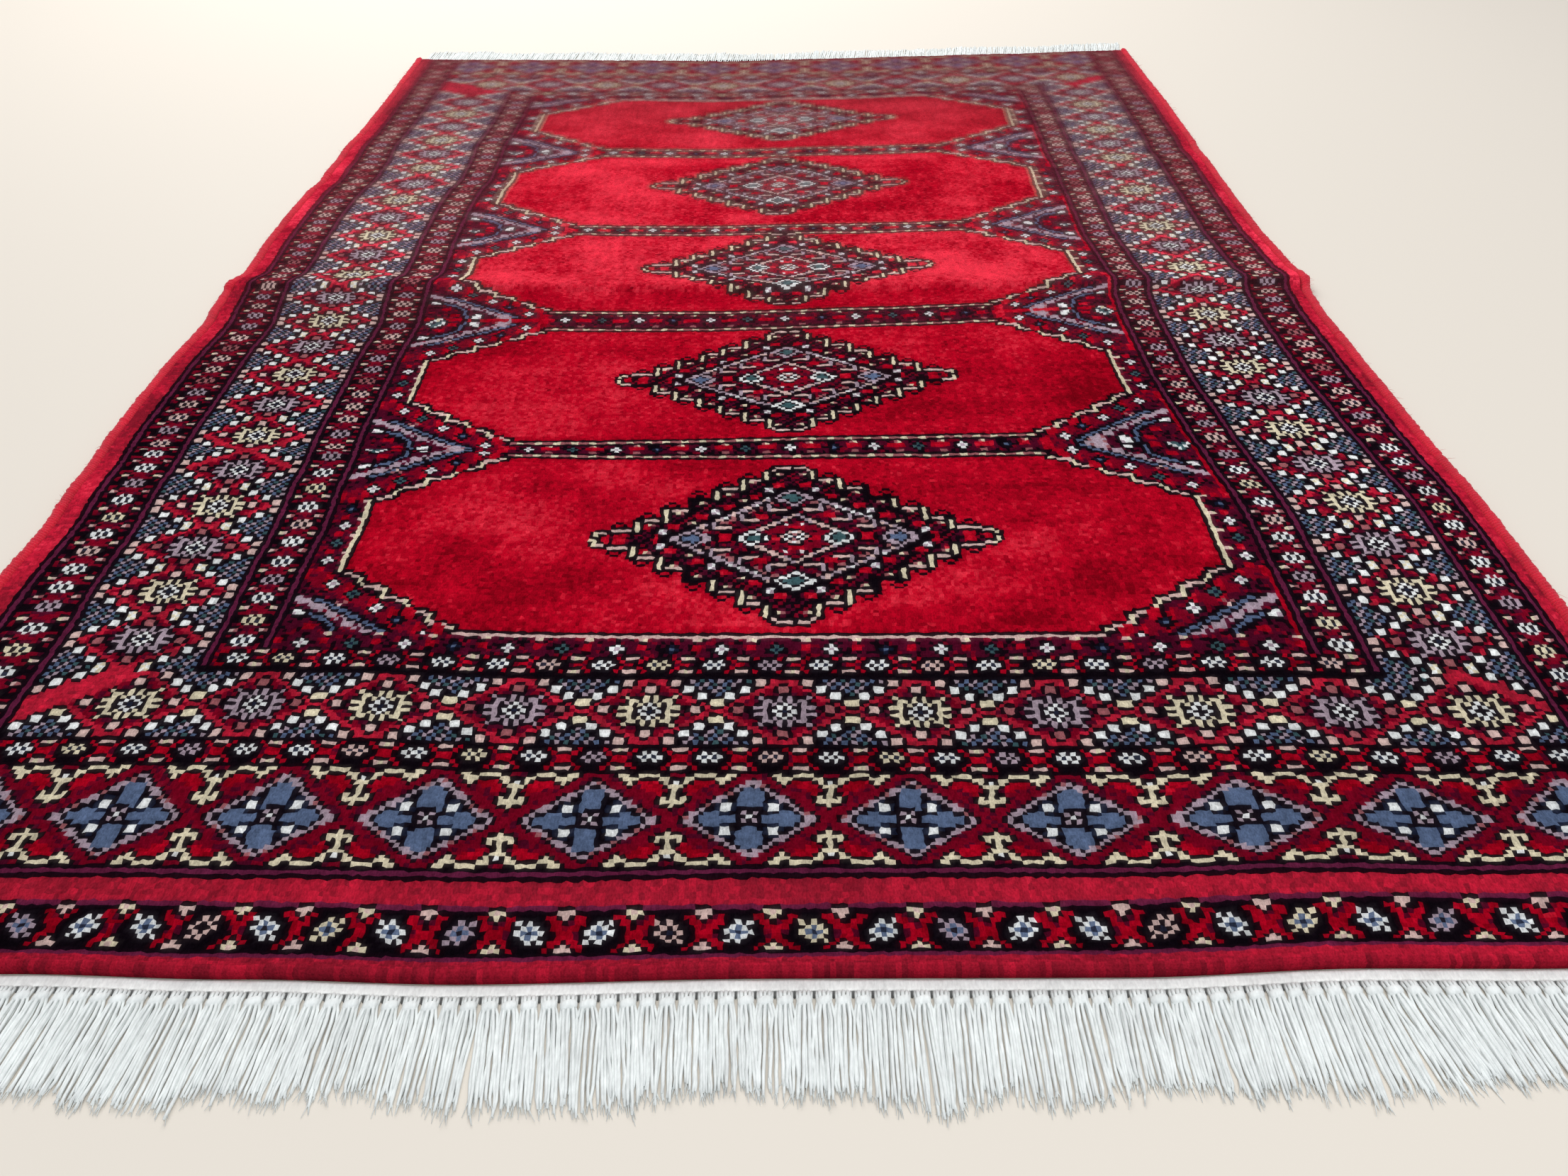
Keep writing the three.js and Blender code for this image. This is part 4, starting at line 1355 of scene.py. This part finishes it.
@dataclass
class Selvedge:
    """An overcast edge: red wool wrapped round the side warps, turn after turn."""

    side: int
    node: str
    lengths: int = 2
    turn_pitch: float = 0.0023
    sides: int = 12
    flat_share: float = 0.86
    rib: float = 0.09
    helix: float = 0.0011
    overrun_near: float = 0.006
    overrun_far: float = 0.011
    tip_rise: float = 0.003
    hairs: int = 260
    hair_length: Pair = (0.002, 0.0055)
    hair_radius: float = 0.00013

    @property
    def share(self) -> float:
        """The share of the way across the pile at which the edge runs."""
        return 0.0 if self.side < 0 else 1.0

    def rings(self) -> Array:
        """All rings of the edge from its near tip to its far tip: three for each turn of wool."""
        rng = np.random.default_rng(SEED + 30 + self.side)
        start, stop = -self.overrun_near, PLAN.pile_length + self.overrun_far
        turns = int((stop - start) / self.turn_pitch)
        places = np.linspace(start, stop, turns * 3 + 1)
        swell = np.array([-self.rib, 0.03, self.rib * 0.35])[np.arange(len(places)) % 3]
        size = 1 + swell + np.repeat(rng.normal(0, 0.035, turns + 1), 3)[: len(places)]
        into_tip = np.minimum((places - start) / 0.006, (stop - places) / 0.008)
        size = (size * np.clip(0.55 + 0.45 * into_tip, 0.4, 1.0))[:, None]
        along = np.clip(places, 0, PLAN.pile_length)
        x, y, z = PLAN.place(self.share, along).T[:, :, None]
        half = PLAN.selvedge_width / 2
        x = x + self.side * (PLAN.gap + half)
        x = x + 0.0003 * np.cumsum(rng.normal(0, 0.12, len(places)))[:, None] * 0.4
        rise = np.clip((places - PLAN.pile_length) / self.overrun_far, 0, 1) * self.tip_rise
        aside, up = circle("wrapped_edge_section", self.sides).T
        up = (np.where(up < 0, up * self.flat_share, up) + self.flat_share) / (1 + self.flat_share)
        y = y + (places - along)[:, None] + aside * self.helix * self.side
        z = z + rise[:, None] + up * PLAN.selvedge_height * size
        return np.stack([x + aside * half * size, y, z], -1)

    def hair_tubes(self, start: float, stop: float, seed: int) -> Array:
        """Loose wool hairs that stand out from the edge between two places along it."""
        rng = np.random.default_rng(seed)
        count = int(self.hairs * (stop - start) / PLAN.pile_length)
        base = PLAN.place(self.share, rng.uniform(max(start, 0), min(stop, PLAN.pile_length), count))
        base[:, 0] += self.side * (PLAN.gap + PLAN.selvedge_width * rng.uniform(0.55, 0.97, count))
        base[:, 2] += PLAN.selvedge_height * rng.uniform(0.3, 0.85, count)
        length, swing, lift = (rng.uniform(*ends, count)
                               for ends in (self.hair_length, (-0.9, 0.9), (-0.25, 0.5)))
        direction = np.stack([self.side * np.cos(swing), np.sin(swing), lift], -1)
        bend = rng.normal(0, 0.35, (count, 3))
        rings = []
        for share in (0.0, 0.5, 1.0):
            out = (length * share)[:, None]
            middle = base + direction * out + bend * (out * share) * 0.5
            middle[:, 2] = np.maximum(middle[:, 2], 0.0003)
            rings.append(ring_round(middle, direction, self.hair_radius * (1.25 - share), 3))
        return np.stack(rings, 1)

    def build(self) -> list[Object]:
        """Makes the edge in lengths of whole turns, each with its hairs."""
        rings = self.rings()
        last = len(rings) - 1
        cuts = [round(last * number / self.lengths / 3) * 3 for number in range(self.lengths)] + [last]
        reach = PLAN.pile_length + self.overrun_near + self.overrun_far
        pieces = []
        for number in range(self.lengths):
            tubes = Tubes()
            tubes.add(rings[None, cuts[number] : cuts[number + 1] + 1])
            start, stop = (reach * step / self.lengths - self.overrun_near for step in (number, number + 1))
            tubes.add(self.hair_tubes(start, stop, SEED + 40 + self.side + 3 * number))
            pieces.append(tubes.build(f"{self.node}_wool_{number + 1}"))
        return pieces


@dataclass
class FringeEnd:
    """The cotton web woven past one end of the pile, and the tassels into which its warps are knotted."""

    turn: int
    node: str
    wefts: int = 5
    web_cells: int = 8
    tassels: int = 110
    length: float = 0.047
    swell: float = 0.003
    jitter: float = 0.002
    yarns: int = 8
    lower_yarns: int = 5
    yarn_radius: float = 0.00082
    yarn_sides: int = 5
    yarn_levels: tuple[float, ...] = (0.05, 0.1, 0.16, 0.28, 0.45, 0.62, 0.8, 0.93, 1.0)
    tie_out: float = 0.0046
    tie_half: float = 0.0033
    tie_sides: int = 10
    root_in: float = 0.0006
    root_half: float = 0.0030
    skirt_half: float = 0.0040
    wisps: int = 3

    def __post_init__(self) -> None:
        """Finds where this end lies along the pile, and how far across it reaches."""
        self.along = 0.0 if self.turn < 0 else PLAN.pile_length
        self.left, self.right = (float(PLAN.pile_edge(side, self.along)) for side in BOTH)

    def web_line(self, across: Array, out: float | Array) -> Array:
        """Points on the floor.

        Args:
            across: Places across the rug, before the shift.
            out: How far outwards of the pile's end each lies.

        Returns:
            The points.
        """
        y = PLAN.pile_end(self.turn, across) + self.turn * (PLAN.gap + out) + PLAN.tuck(across, self.along)
        z = PLAN.lift(across, np.full(np.shape(across), self.along))
        return np.stack([across + PLAN.shift[0], y + PLAN.shift[1], z], -1)

    def web(self) -> Object:
        """The web: a thin strip with a low rib for each of its wefts, modelled from a grid, with a dark
        tongue of painted shadow reaching into the hole between each two tassels.
        """
        cells = self.web_cells * self.tassels
        bpy.ops.mesh.primitive_grid_add(x_subdivisions=cells, y_subdivisions=self.wefts * 2, size=1.0)
        piece = bpy.context.object
        mesh = piece.data
        piece.name = mesh.name = f"web_{self.node}"
        share, out = np.array([tuple(vertex.co) for vertex in mesh.vertices])[:, :2].T + 0.5
        rng = np.random.default_rng(SEED + 50 + self.turn)
        steps = np.round(out * self.wefts * 2).astype(int)
        weft = np.where(steps % 2 == 1, 1.0, 0.62)
        warp = 0.5 + 0.5 * np.cos(np.round(share * cells) * np.pi + steps // 2 * np.pi)
        edge = np.minimum(1.0, np.minimum(out, 1 - out) * 7)
        high = PLAN.web_thickness * (0.45 + 0.55 * edge) * (0.78 + 0.22 * weft * (0.6 + 0.4 * warp))
        reach = PLAN.web_depth * out * (1 + 0.02 * np.sin(share * 160))
        reach, outward = (reach, out) if self.turn > 0 else (PLAN.web_depth - reach, 1 - out)
        # Painted shadow: between each two tassels the web's outer edge is coloured nearly black, and its rim
        # reaches out and down into the hole
        from_gap = np.round(share * cells) % self.web_cells
        painted_shadow = np.clip(1.5 - np.minimum(from_gap, self.web_cells - from_gap), 0, 1) * (outward > 0.85)
        is_rim = outward > 0.95
        across = self.left + (self.right - self.left) * share
        placed = self.web_line(across, reach + 0.0021 * painted_shadow * is_rim)
        placed[:, 2] += high * (1 - 0.7 * painted_shadow * is_rim) + rng.normal(0, 0.00004, len(high))
        mesh.vertices.foreach_set("co", placed.astype(np.float32).reshape(-1))
        bpy.ops.object.mode_set(mode="EDIT")
        bpy.ops.mesh.select_mode(type="EDGE")
        bpy.ops.mesh.select_all(action="DESELECT")
        bpy.ops.mesh.select_non_manifold()
        bpy.ops.mesh.extrude_edges_move(TRANSFORM_OT_translate={"value": (0, 0, -0.0008)})
        bpy.ops.mesh.edge_face_add()
        bpy.ops.mesh.select_all(action="SELECT")
        bpy.ops.mesh.normals_make_consistent(inside=False)
        bpy.ops.object.mode_set(mode="OBJECT")
        for vertex in mesh.vertices[len(placed):]:
            vertex.co.z = 0.0
        for polygon in mesh.polygons:
            polygon.use_smooth = True
        lit = np.ones((len(mesh.vertices), 4))
        lit[: len(placed), :3] = 1 - 0.93 * np.clip(painted_shadow * 1.4, 0, 1)[:, None]
        shade = mesh.color_attributes.new(name="Shade", type="FLOAT_COLOR", domain="POINT")
        shade.data.foreach_set("color", lit.astype(np.float32).reshape(-1))
        mesh.update()
        return piece

    def yarn_shares(self) -> Array:
        """Where a warp yarn's rings lie along it, from 0 to 1, from a circle extruded ring by ring."""
        bpy.ops.mesh.primitive_circle_add(vertices=self.yarn_sides, radius=1.0)
        bpy.ops.object.mode_set(mode="EDIT")
        for before, level in zip((0.0, *self.yarn_levels), self.yarn_levels):
            bpy.ops.mesh.extrude_region_move(TRANSFORM_OT_translate={"value": (0, 0, level - before)})
        bpy.ops.object.mode_set(mode="OBJECT")
        return np.unique(np.round(template("warp_yarn")[:, 2], 4))

    def lengths(self) -> Array:
        """How long each tassel is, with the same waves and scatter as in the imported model."""
        number = np.arange(self.tassels)
        number = number if self.turn > 0 else self.tassels - 1 - number
        wave = np.sin(2 * np.pi * number / 20) + np.sin(2 * np.pi * number / 7.6 + 1) / 2
        scatter = np.sin(number * 12.9898 + 4.1) * 43758.5453
        return self.length + self.swell * wave + self.jitter * ((scatter - np.floor(scatter)) * 2 - 1)

    def build_tassels(self) -> Object:
        """Makes the tassels: ties, yarns and the fine wisps at their tips, joined in one mesh."""
        rng = np.random.default_rng(SEED + 60 + self.turn)
        tassels, yarns = self.tassels, self.yarns
        root = self.left + (np.arange(tassels) + 0.5) * ((self.right - self.left) / tassels)
        leans = NEAR_LEANS if self.turn < 0 else FAR_LEANS
        lean = leans.read("lean", root) + rng.normal(0, 0.02, tassels)
        share = self.yarn_shares()
        yarn = np.arange(yarns)
        is_upper = (yarn >= self.lower_yarns)[None, :, None]
        lane = np.where(is_upper, ((yarn - 6) / 1.6)[:, None], ((yarn - 2) / 2.0)[:, None])
        length = self.lengths()[:, None, None] * (1 + rng.normal(0, 0.035, (tassels, yarns, 1)))
        out = (length + rng.normal(0, 0.0012, (tassels, yarns, 1))) * share
        waist = np.clip(out / self.tie_out, 0, 1)
        opened = ease((out - self.tie_out) / 0.006)
        neck = self.root_half + (self.tie_half * 0.8 - self.root_half) * waist ** 1.5
        skirt = self.skirt_half * (1 + rng.normal(0, 0.08, (tassels, 1, 1)))
        stray = rng.normal(0, 0.0006, (tassels, yarns, 1)) * share ** 1.5
        quiver = rng.normal(0, 0.00022, (tassels, yarns, len(share))) * opened
        across = root[:, None, None] + lane * (neck + (skirt - neck) * opened) + stray + quiver
        across = across + lean[:, None, None] * out
        stack = np.where(is_upper, 2.25, 0.8) * self.yarn_radius * (1 - 0.35 * lane ** 2)
        settle = is_upper * 0.45 * self.yarn_radius * np.clip(share * 1.4, 0, 1)
        high = stack - settle + np.exp(-((out - self.tie_out) / 0.0035) ** 2) * 0.0006 + 0.0001
        high = high + rng.uniform(0, 0.00025, (tassels, yarns, 1)) * share
        middle = self.web_line(across, PLAN.web_depth - self.root_in + out)
        middle[..., 2] = np.maximum(high + (1 - waist) * 0.0003, self.yarn_radius * 0.9)
        taper = 1 - 0.35 * np.clip((share - 0.85) / 0.15, 0, 1) ** 2
        radius = self.yarn_radius * taper * (1 + rng.normal(0, 0.06, (tassels, yarns, 1)))
        flow = np.gradient(middle, axis=2)
        rings = ring_round(middle.reshape(-1, 3), flow.reshape(-1, 3), radius.reshape(-1), self.yarn_sides)
        tubes = Tubes()
        tubes.add(rings.reshape(tassels * yarns, len(share), self.yarn_sides, 3))
        tubes.add(self.wisp_tubes(middle[:, :, -2].reshape(-1, 3), flow[:, :, -1].reshape(-1, 3), rng))
        tubes.add(self.ties(root, lean, rng))
        return tubes.build(f"tassels_{self.node}")

    def wisp_tubes(self, tips: Array, ways: Array, rng: np.random.Generator) -> Array:
        """Fine fibres that leave each yarn's tip, one part of its end fanned out.

        Args:
            tips: Where the fibres leave each yarn.
            ways: The way that each yarn runs at its end.
            rng: The source of the fibres' scatter.

        Returns:
            The fibres' rings.
        """
        tips, ways = np.repeat(tips, self.wisps, 0), np.repeat(ways, self.wisps, 0)
        ways /= np.linalg.norm(ways, axis=1, keepdims=True)
        ways[:, 0] += rng.normal(0, 0.07, len(tips))
        length = rng.uniform(0.003, 0.0085, len(tips))
        bend = rng.normal(0, 0.0008, len(tips))
        rings = []
        for share in (0.0, 0.55, 1.0):
            spot = tips + ways * (length * share)[:, None]
            spot[:, 0] += bend * share * share
            spot[:, 2] = np.maximum(tips[:, 2] * (1 - 0.6 * share), 0.00025)
            rings.append(ring_round(spot, ways, 0.00036 * (1.15 - share * 0.85), 3))
        return np.stack(rings, 1)

    def ties(self, root: Array, lean: Array, rng: np.random.Generator) -> Array:
        """The knot of each tassel: a warp turned round the others, drawn as a short closed band.

        Args:
            root: Where each tassel leaves the web.
            lean: How each tassel leans.
            rng: The source of the knots' scatter.

        Returns:
            The bands' rings, each from its inner to its outer end.
        """
        aside, up = circle("tie_section", self.tie_sides).T
        size = 1 + rng.normal(0, 0.06, (len(root), 1))
        rings = []
        for offset, swell in ((-0.0021, 0.72), (-0.0016, 0.98), (-0.0005, 1.06), (0.0006, 1.05),
                              (0.0015, 0.95), (0.0019, 0.72)):
            out = self.tie_out + offset
            spot = self.web_line(root + lean * out, np.full(len(root), PLAN.web_depth - self.root_in + out))
            rings.append(np.stack([spot[:, :1] + aside * (self.tie_half * swell * size),
                                   spot[:, 1:2] + aside * 0.0006,
                                   np.maximum(0.0018 + up * (0.0016 * swell * size), 0.00012)], -1))
        return np.stack(rings, 1)


class Relief(Enum):
    """What raises and dents a finish."""

    FIBRES = "its fibres"
    KNOTS = "its fibres and the dip between knots"
    WEFTS = "its rows of knot loops"


def new_material(name: str) -> tuple[Material, Node]:
    """A new node material and its shader."""
    material = bpy.data.materials.new(name)
    material.use_nodes = True
    return material, next(node for node in material.node_tree.nodes if node.type == "BSDF_PRINCIPLED")


def wired(tree: NodeTree, kind: str, inputs: dict[str | int, object] | None = None, **settings: object
          ) -> NodeOutputs:
    """Adds a shader node.

    Args:
        tree: The node tree.
        kind: The node's type, without "ShaderNode".
        inputs: A value for each input, or the output socket that it is linked to.
        settings: The node's own settings.

    Returns:
        The node's outputs.
    """
    node = tree.nodes.new("ShaderNode" + kind)
    for name, value in settings.items():
        setattr(node, name, value)
    for name, value in (inputs or {}).items():
        if isinstance(value, NodeSocket):
            tree.links.new(value, node.inputs[name])
        else:
            node.inputs[name].default_value = value
    return node.outputs


def ranged(tree: NodeTree, value: NodeSocket, span: Pair, low: float, high: float) -> NodeSocket:
    """Brings a value from its usual span between a low and a high one."""
    return wired(tree, "MapRange", {"From Min": span[0], "From Max": span[1], "To Min": low, "To Max": high,
                                    "Value": value})["Result"]


def multiplied(tree: NodeTree, colour: NodeSocket, other: NodeSocket) -> NodeSocket:
    """The product of two colours, or of a colour and a factor."""
    return wired(tree, "VectorMath", {0: colour, 1: other}, operation="MULTIPLY")["Vector"]


@dataclass(frozen=True)
class Finish:
    """A wool or cotton finish. Each of its layers of fibres has a scale, a stretch and the factors by which
    it darkens and lightens, and its bump a strength and a distance."""

    name: str
    layers: tuple[tuple[float, float, float, float], ...]
    bump: Pair
    look: dict[str, object]
    colour: Triple | None = None
    relief: Relief = Relief.FIBRES
    shade: str = ""
    mask_span: Pair = (0.3, 0.7)

    def make(self, fibres: NodeTree) -> Material:
        """Makes the material.

        Args:
            fibres: The group of nodes that draws fibres.

        Returns:
            The material, coloured by the mesh's own yarns where the finish has no colour.
        """
        material, shader = new_material(self.name)
        tree = material.node_tree
        if self.colour is None:
            colour = wired(tree, "VertexColor", layer_name="Yarn")["Color"]
        else:
            colour = wired(tree, "RGB")[0]
            colour.default_value = (*self.colour, 1.0)
        place = wired(tree, "TexCoord")["Object"]
        masks = []
        for scale, stretch, low, high in self.layers:
            masks.append(wired(tree, "Group", {"Scale": scale, "Stretch": stretch, "Coordinate": place},
                               node_tree=fibres))
            colour = multiplied(tree, colour, ranged(tree, masks[-1]["Tone"], self.mask_span, low, high))
        height = masks[0]["Height"]
        if self.relief is Relief.KNOTS:
            height = self.knot_relief(tree, height)
        if self.relief is Relief.WEFTS:
            knots = wired(tree, "UVMap", uv_map="Knots")["UV"]
            height = wired(tree, "TexWave", {"Scale": 1.0, "Vector": knots}, wave_type="BANDS",
                           bands_direction="Y")["Fac"]
            colour = multiplied(tree, colour, ranged(tree, height, self.mask_span, 0.8, 1.08))
        if self.shade:
            colour = multiplied(tree, colour, wired(tree, "VertexColor", layer_name=self.shade)["Color"])
        strength, distance = self.bump
        normal = wired(tree, "Bump", {"Strength": strength, "Distance": distance, "Height": height})["Normal"]
        tree.links.new(colour, shader.inputs["Base Color"])
        tree.links.new(normal, shader.inputs["Normal"])
        for name, value in self.look.items():
            shader.inputs[name].default_value = value
        return material

    def knot_relief(self, tree: NodeTree, fibres: NodeSocket) -> NodeSocket:
        """The height of the fibres on a low dome for each knot."""
        knots = wired(tree, "UVMap", uv_map="Knots")["UV"]
        inside = wired(tree, "VectorMath", {0: knots}, operation="FRACTION")["Vector"]
        away = wired(tree, "VectorMath", {0: inside, 1: (0.5, 0.5, 0.0)}, operation="DISTANCE")["Value"]
        dome = ranged(tree, away, (0.2, 0.7), 1.0, 0.0)
        return wired(tree, "Math", {0: dome, 1: 0.35, 2: fibres}, operation="MULTIPLY_ADD")[0]


COTTON_LOOK = {"Roughness": 0.85, "Specular IOR Level": 0.3, "Sheen Weight": 0.15}
PILE = Finish("cut_wool_pile", ((1100.0, 0.45, 0.72, 1.28), (150.0, 0.35, 0.84, 1.16)), (0.8, 0.0011),
              {"Roughness": 0.95, "Specular IOR Level": 0.0, "Sheen Weight": 0.01, "Sheen Roughness": 0.25,
               "Sheen Tint": (1.0, 0.5, 0.55, 1.0)}, relief=Relief.KNOTS)
BACK = Finish("woven_back", ((800.0, 1.0, 0.78, 1.2),), (0.6, 0.0008),
              {"Roughness": 0.95, "Specular IOR Level": 0.2}, relief=Relief.WEFTS)
EDGE = Finish("wrapped_wool_edge", ((1300.0, 1.6, 0.66, 1.3), (60.0, 1.0, 0.82, 1.14)), (0.7, 0.0006),
              {"Roughness": 0.88, "Specular IOR Level": 0.3, "Sheen Weight": 0.3, "Sheen Roughness": 0.4,
               "Sheen Tint": (1.0, 0.6, 0.62, 1.0)}, srgb(208, 22, 50))
YARN = Finish("cotton_yarn", ((620.0, 0.3, 0.84, 1.06), (45.0, 0.8, 0.9, 1.04)), (0.5, 0.0004), COTTON_LOOK,
              srgb(236, 240, 238))
WEB = Finish("cotton_web", ((900.0, 0.3, 0.84, 1.06), (45.0, 0.8, 0.9, 1.04)), (0.5, 0.0004), COTTON_LOOK,
             srgb(252, 252, 248), shade="Shade")


def fibre_group() -> NodeTree:
    """Fine fibres for any yarn: a mask of light and dark hairs and a height for the bump.

    Returns:
        The group, with Coordinate, Scale and Stretch in and Tone and Height out.
    """
    group = bpy.data.node_groups.new("Fibres", "ShaderNodeTree")
    group.interface.new_socket("Coordinate", in_out="INPUT", socket_type="NodeSocketVector")
    for label, value in (("Scale", 900.0), ("Stretch", 0.35)):
        socket = group.interface.new_socket(label, in_out="INPUT", socket_type="NodeSocketFloat")
        socket.default_value = value
    for label in ("Tone", "Height"):
        group.interface.new_socket(label, in_out="OUTPUT", socket_type="NodeSocketFloat")
    source, sink = group.nodes.new("NodeGroupInput"), group.nodes.new("NodeGroupOutput")
    split = wired(group, "SeparateXYZ", {0: source.outputs["Coordinate"]})
    squeezed = wired(group, "Math", {0: split["Y"], 1: source.outputs["Stretch"]}, operation="MULTIPLY")[0]
    joined = wired(group, "CombineXYZ", {"X": split["X"], "Y": squeezed, "Z": split["Z"]})[0]
    fine = wired(group, "TexNoise", {"Detail": 3.0, "Roughness": 0.6, "Vector": joined,
                                     "Scale": source.outputs["Scale"]})["Fac"]
    for label in ("Tone", "Height"):
        group.links.new(fine, sink.inputs[label])
    return group


@dataclass
class Studio:
    """The camera, the pale floor and the soft light."""

    focal_pixels: float = 1710.5
    pitch: float = 38.705
    yaw: float = -0.095
    roll: float = 0.454
    aside: float = 0.0143
    before_pile: float = 0.3042
    above_pile: float = 0.4580
    sensor: float = 36.0
    floor_size: float = 14.0

    def camera(self) -> None:
        """The camera that sees the rug as the photograph does."""
        pitch, yaw, roll = (math.radians(angle) for angle in (self.pitch, self.yaw, self.roll))
        forward = Vector((math.sin(yaw) * math.cos(pitch), math.cos(yaw) * math.cos(pitch), -math.sin(pitch)))
        level = Vector((math.cos(yaw), -math.sin(yaw), 0.0))
        down = forward.cross(level)
        right = math.cos(roll) * level + math.sin(roll) * down
        below = -math.sin(roll) * level + math.cos(roll) * down
        data = bpy.data.cameras.new("camera")
        data.sensor_fit = "HORIZONTAL"
        data.sensor_width = self.sensor
        data.lens = self.sensor * self.focal_pixels / IMAGE_SIZE[0]
        data.clip_start = 0.01
        data.dof.use_dof = False
        camera = bpy.data.objects.new("camera", data)
        bpy.context.scene.collection.objects.link(camera)
        turn = Matrix((right, -below, -forward)).transposed()
        near_end = -PLAN.pile_length / 2 + PLAN.shift[1]
        spot = Vector((self.aside + PLAN.shift[0], near_end - self.before_pile,
                       PLAN.pile_thickness + self.above_pile))
        camera.matrix_world = Matrix.Translation(spot) @ turn.to_4x4()
        bpy.context.scene.camera = camera

    def floor(self) -> None:
        """A pale plain floor."""
        bpy.ops.mesh.primitive_plane_add(size=self.floor_size, location=(0, 0, 0))
        floor = bpy.context.object
        floor.name = "floor"
        material, shader = new_material("pale_floor")
        shader.inputs["Base Color"].default_value = (*srgb(222, 214, 202), 1.0)
        shader.inputs["Roughness"].default_value = 0.75
        floor.data.materials.append(material)

    def light(self, name: str, spot: Triple, size: float, power: float,
              colour: Triple) -> None:
        """A soft square light that faces the rug."""
        data = bpy.data.lights.new(name, "AREA")
        data.shape, data.size, data.energy, data.color = "SQUARE", size, power, colour
        lamp = bpy.data.objects.new(name, data)
        bpy.context.scene.collection.objects.link(lamp)
        lamp.location = spot
        lamp.rotation_euler = (-Vector(spot)).to_track_quat("-Z", "Y").to_euler()

    def set_up(self) -> None:
        """Makes the camera, the floor, the lights and a plain pale surround."""
        self.camera()
        self.floor()
        self.light("window", (-0.5, 1.9, 1.7), 1.7, 48.0, (1.0, 0.98, 0.95))
        self.light("room", (0.6, -1.9, 2.0), 2.4, 36.0, (0.97, 0.99, 1.0))
        world = bpy.data.worlds.new("surround")
        world.use_nodes = True
        background = world.node_tree.nodes["Background"]
        background.inputs["Color"].default_value = (0.93, 0.95, 1.0, 1.0)
        background.inputs["Strength"].default_value = 0.55
        bpy.context.scene.world = world
        bpy.context.scene.view_settings.view_transform = "Standard"


def dress(piece: Object, material: Material, node: str) -> Object:
    """Gives a piece its finish and its place in the frame.

    Args:
        piece: The finished piece.
        material: Its finish.
        node: The CAD node that it stands for.

    Returns:
        The piece.
    """
    piece.data.materials.clear()
    piece.data.materials.append(material)
    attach(piece, BODY)
    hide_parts(node)
    LOG.info("%s: %.3f x %.3f x %.3f m, %d faces", piece.name, *piece.dimensions, len(piece.data.polygons))
    return piece


def main() -> None:
    """Builds the rug and its studio, and reports each piece."""
    logging.basicConfig(level=logging.INFO, format="%(message)s")
    bpy.ops.object.select_all(action="DESELECT")
    Studio().set_up()
    fibres = fibre_group()
    pile, back, edge, yarn, web = (finish.make(fibres) for finish in (PILE, BACK, EDGE, YARN, WEB))
    cloth = KnottedCloth(RugPattern().knot())
    for band in cloth.build_pile():
        dress(band, pile, "rug")
    backs = [dress(length, back, "rug") for length in cloth.build_back()]
    on_backs: list[list[Object]] = [[] for _ in backs]
    for side, node in zip(BOTH, ("selvedge_left", "selvedge_right")):
        for pieces, length in zip(on_backs, Selvedge(side, node).build(), strict=True):
            pieces.append(dress(length, edge, node))
    for turn, node, pieces in zip(BOTH, ("fringe_near", "fringe_far"), on_backs, strict=True):
        end = FringeEnd(turn, node)
        pieces.append(dress(end.web(), web, node))
        pieces.append(dress(end.build_tassels(), yarn, node))


if __name__ == "__main__":
    main()
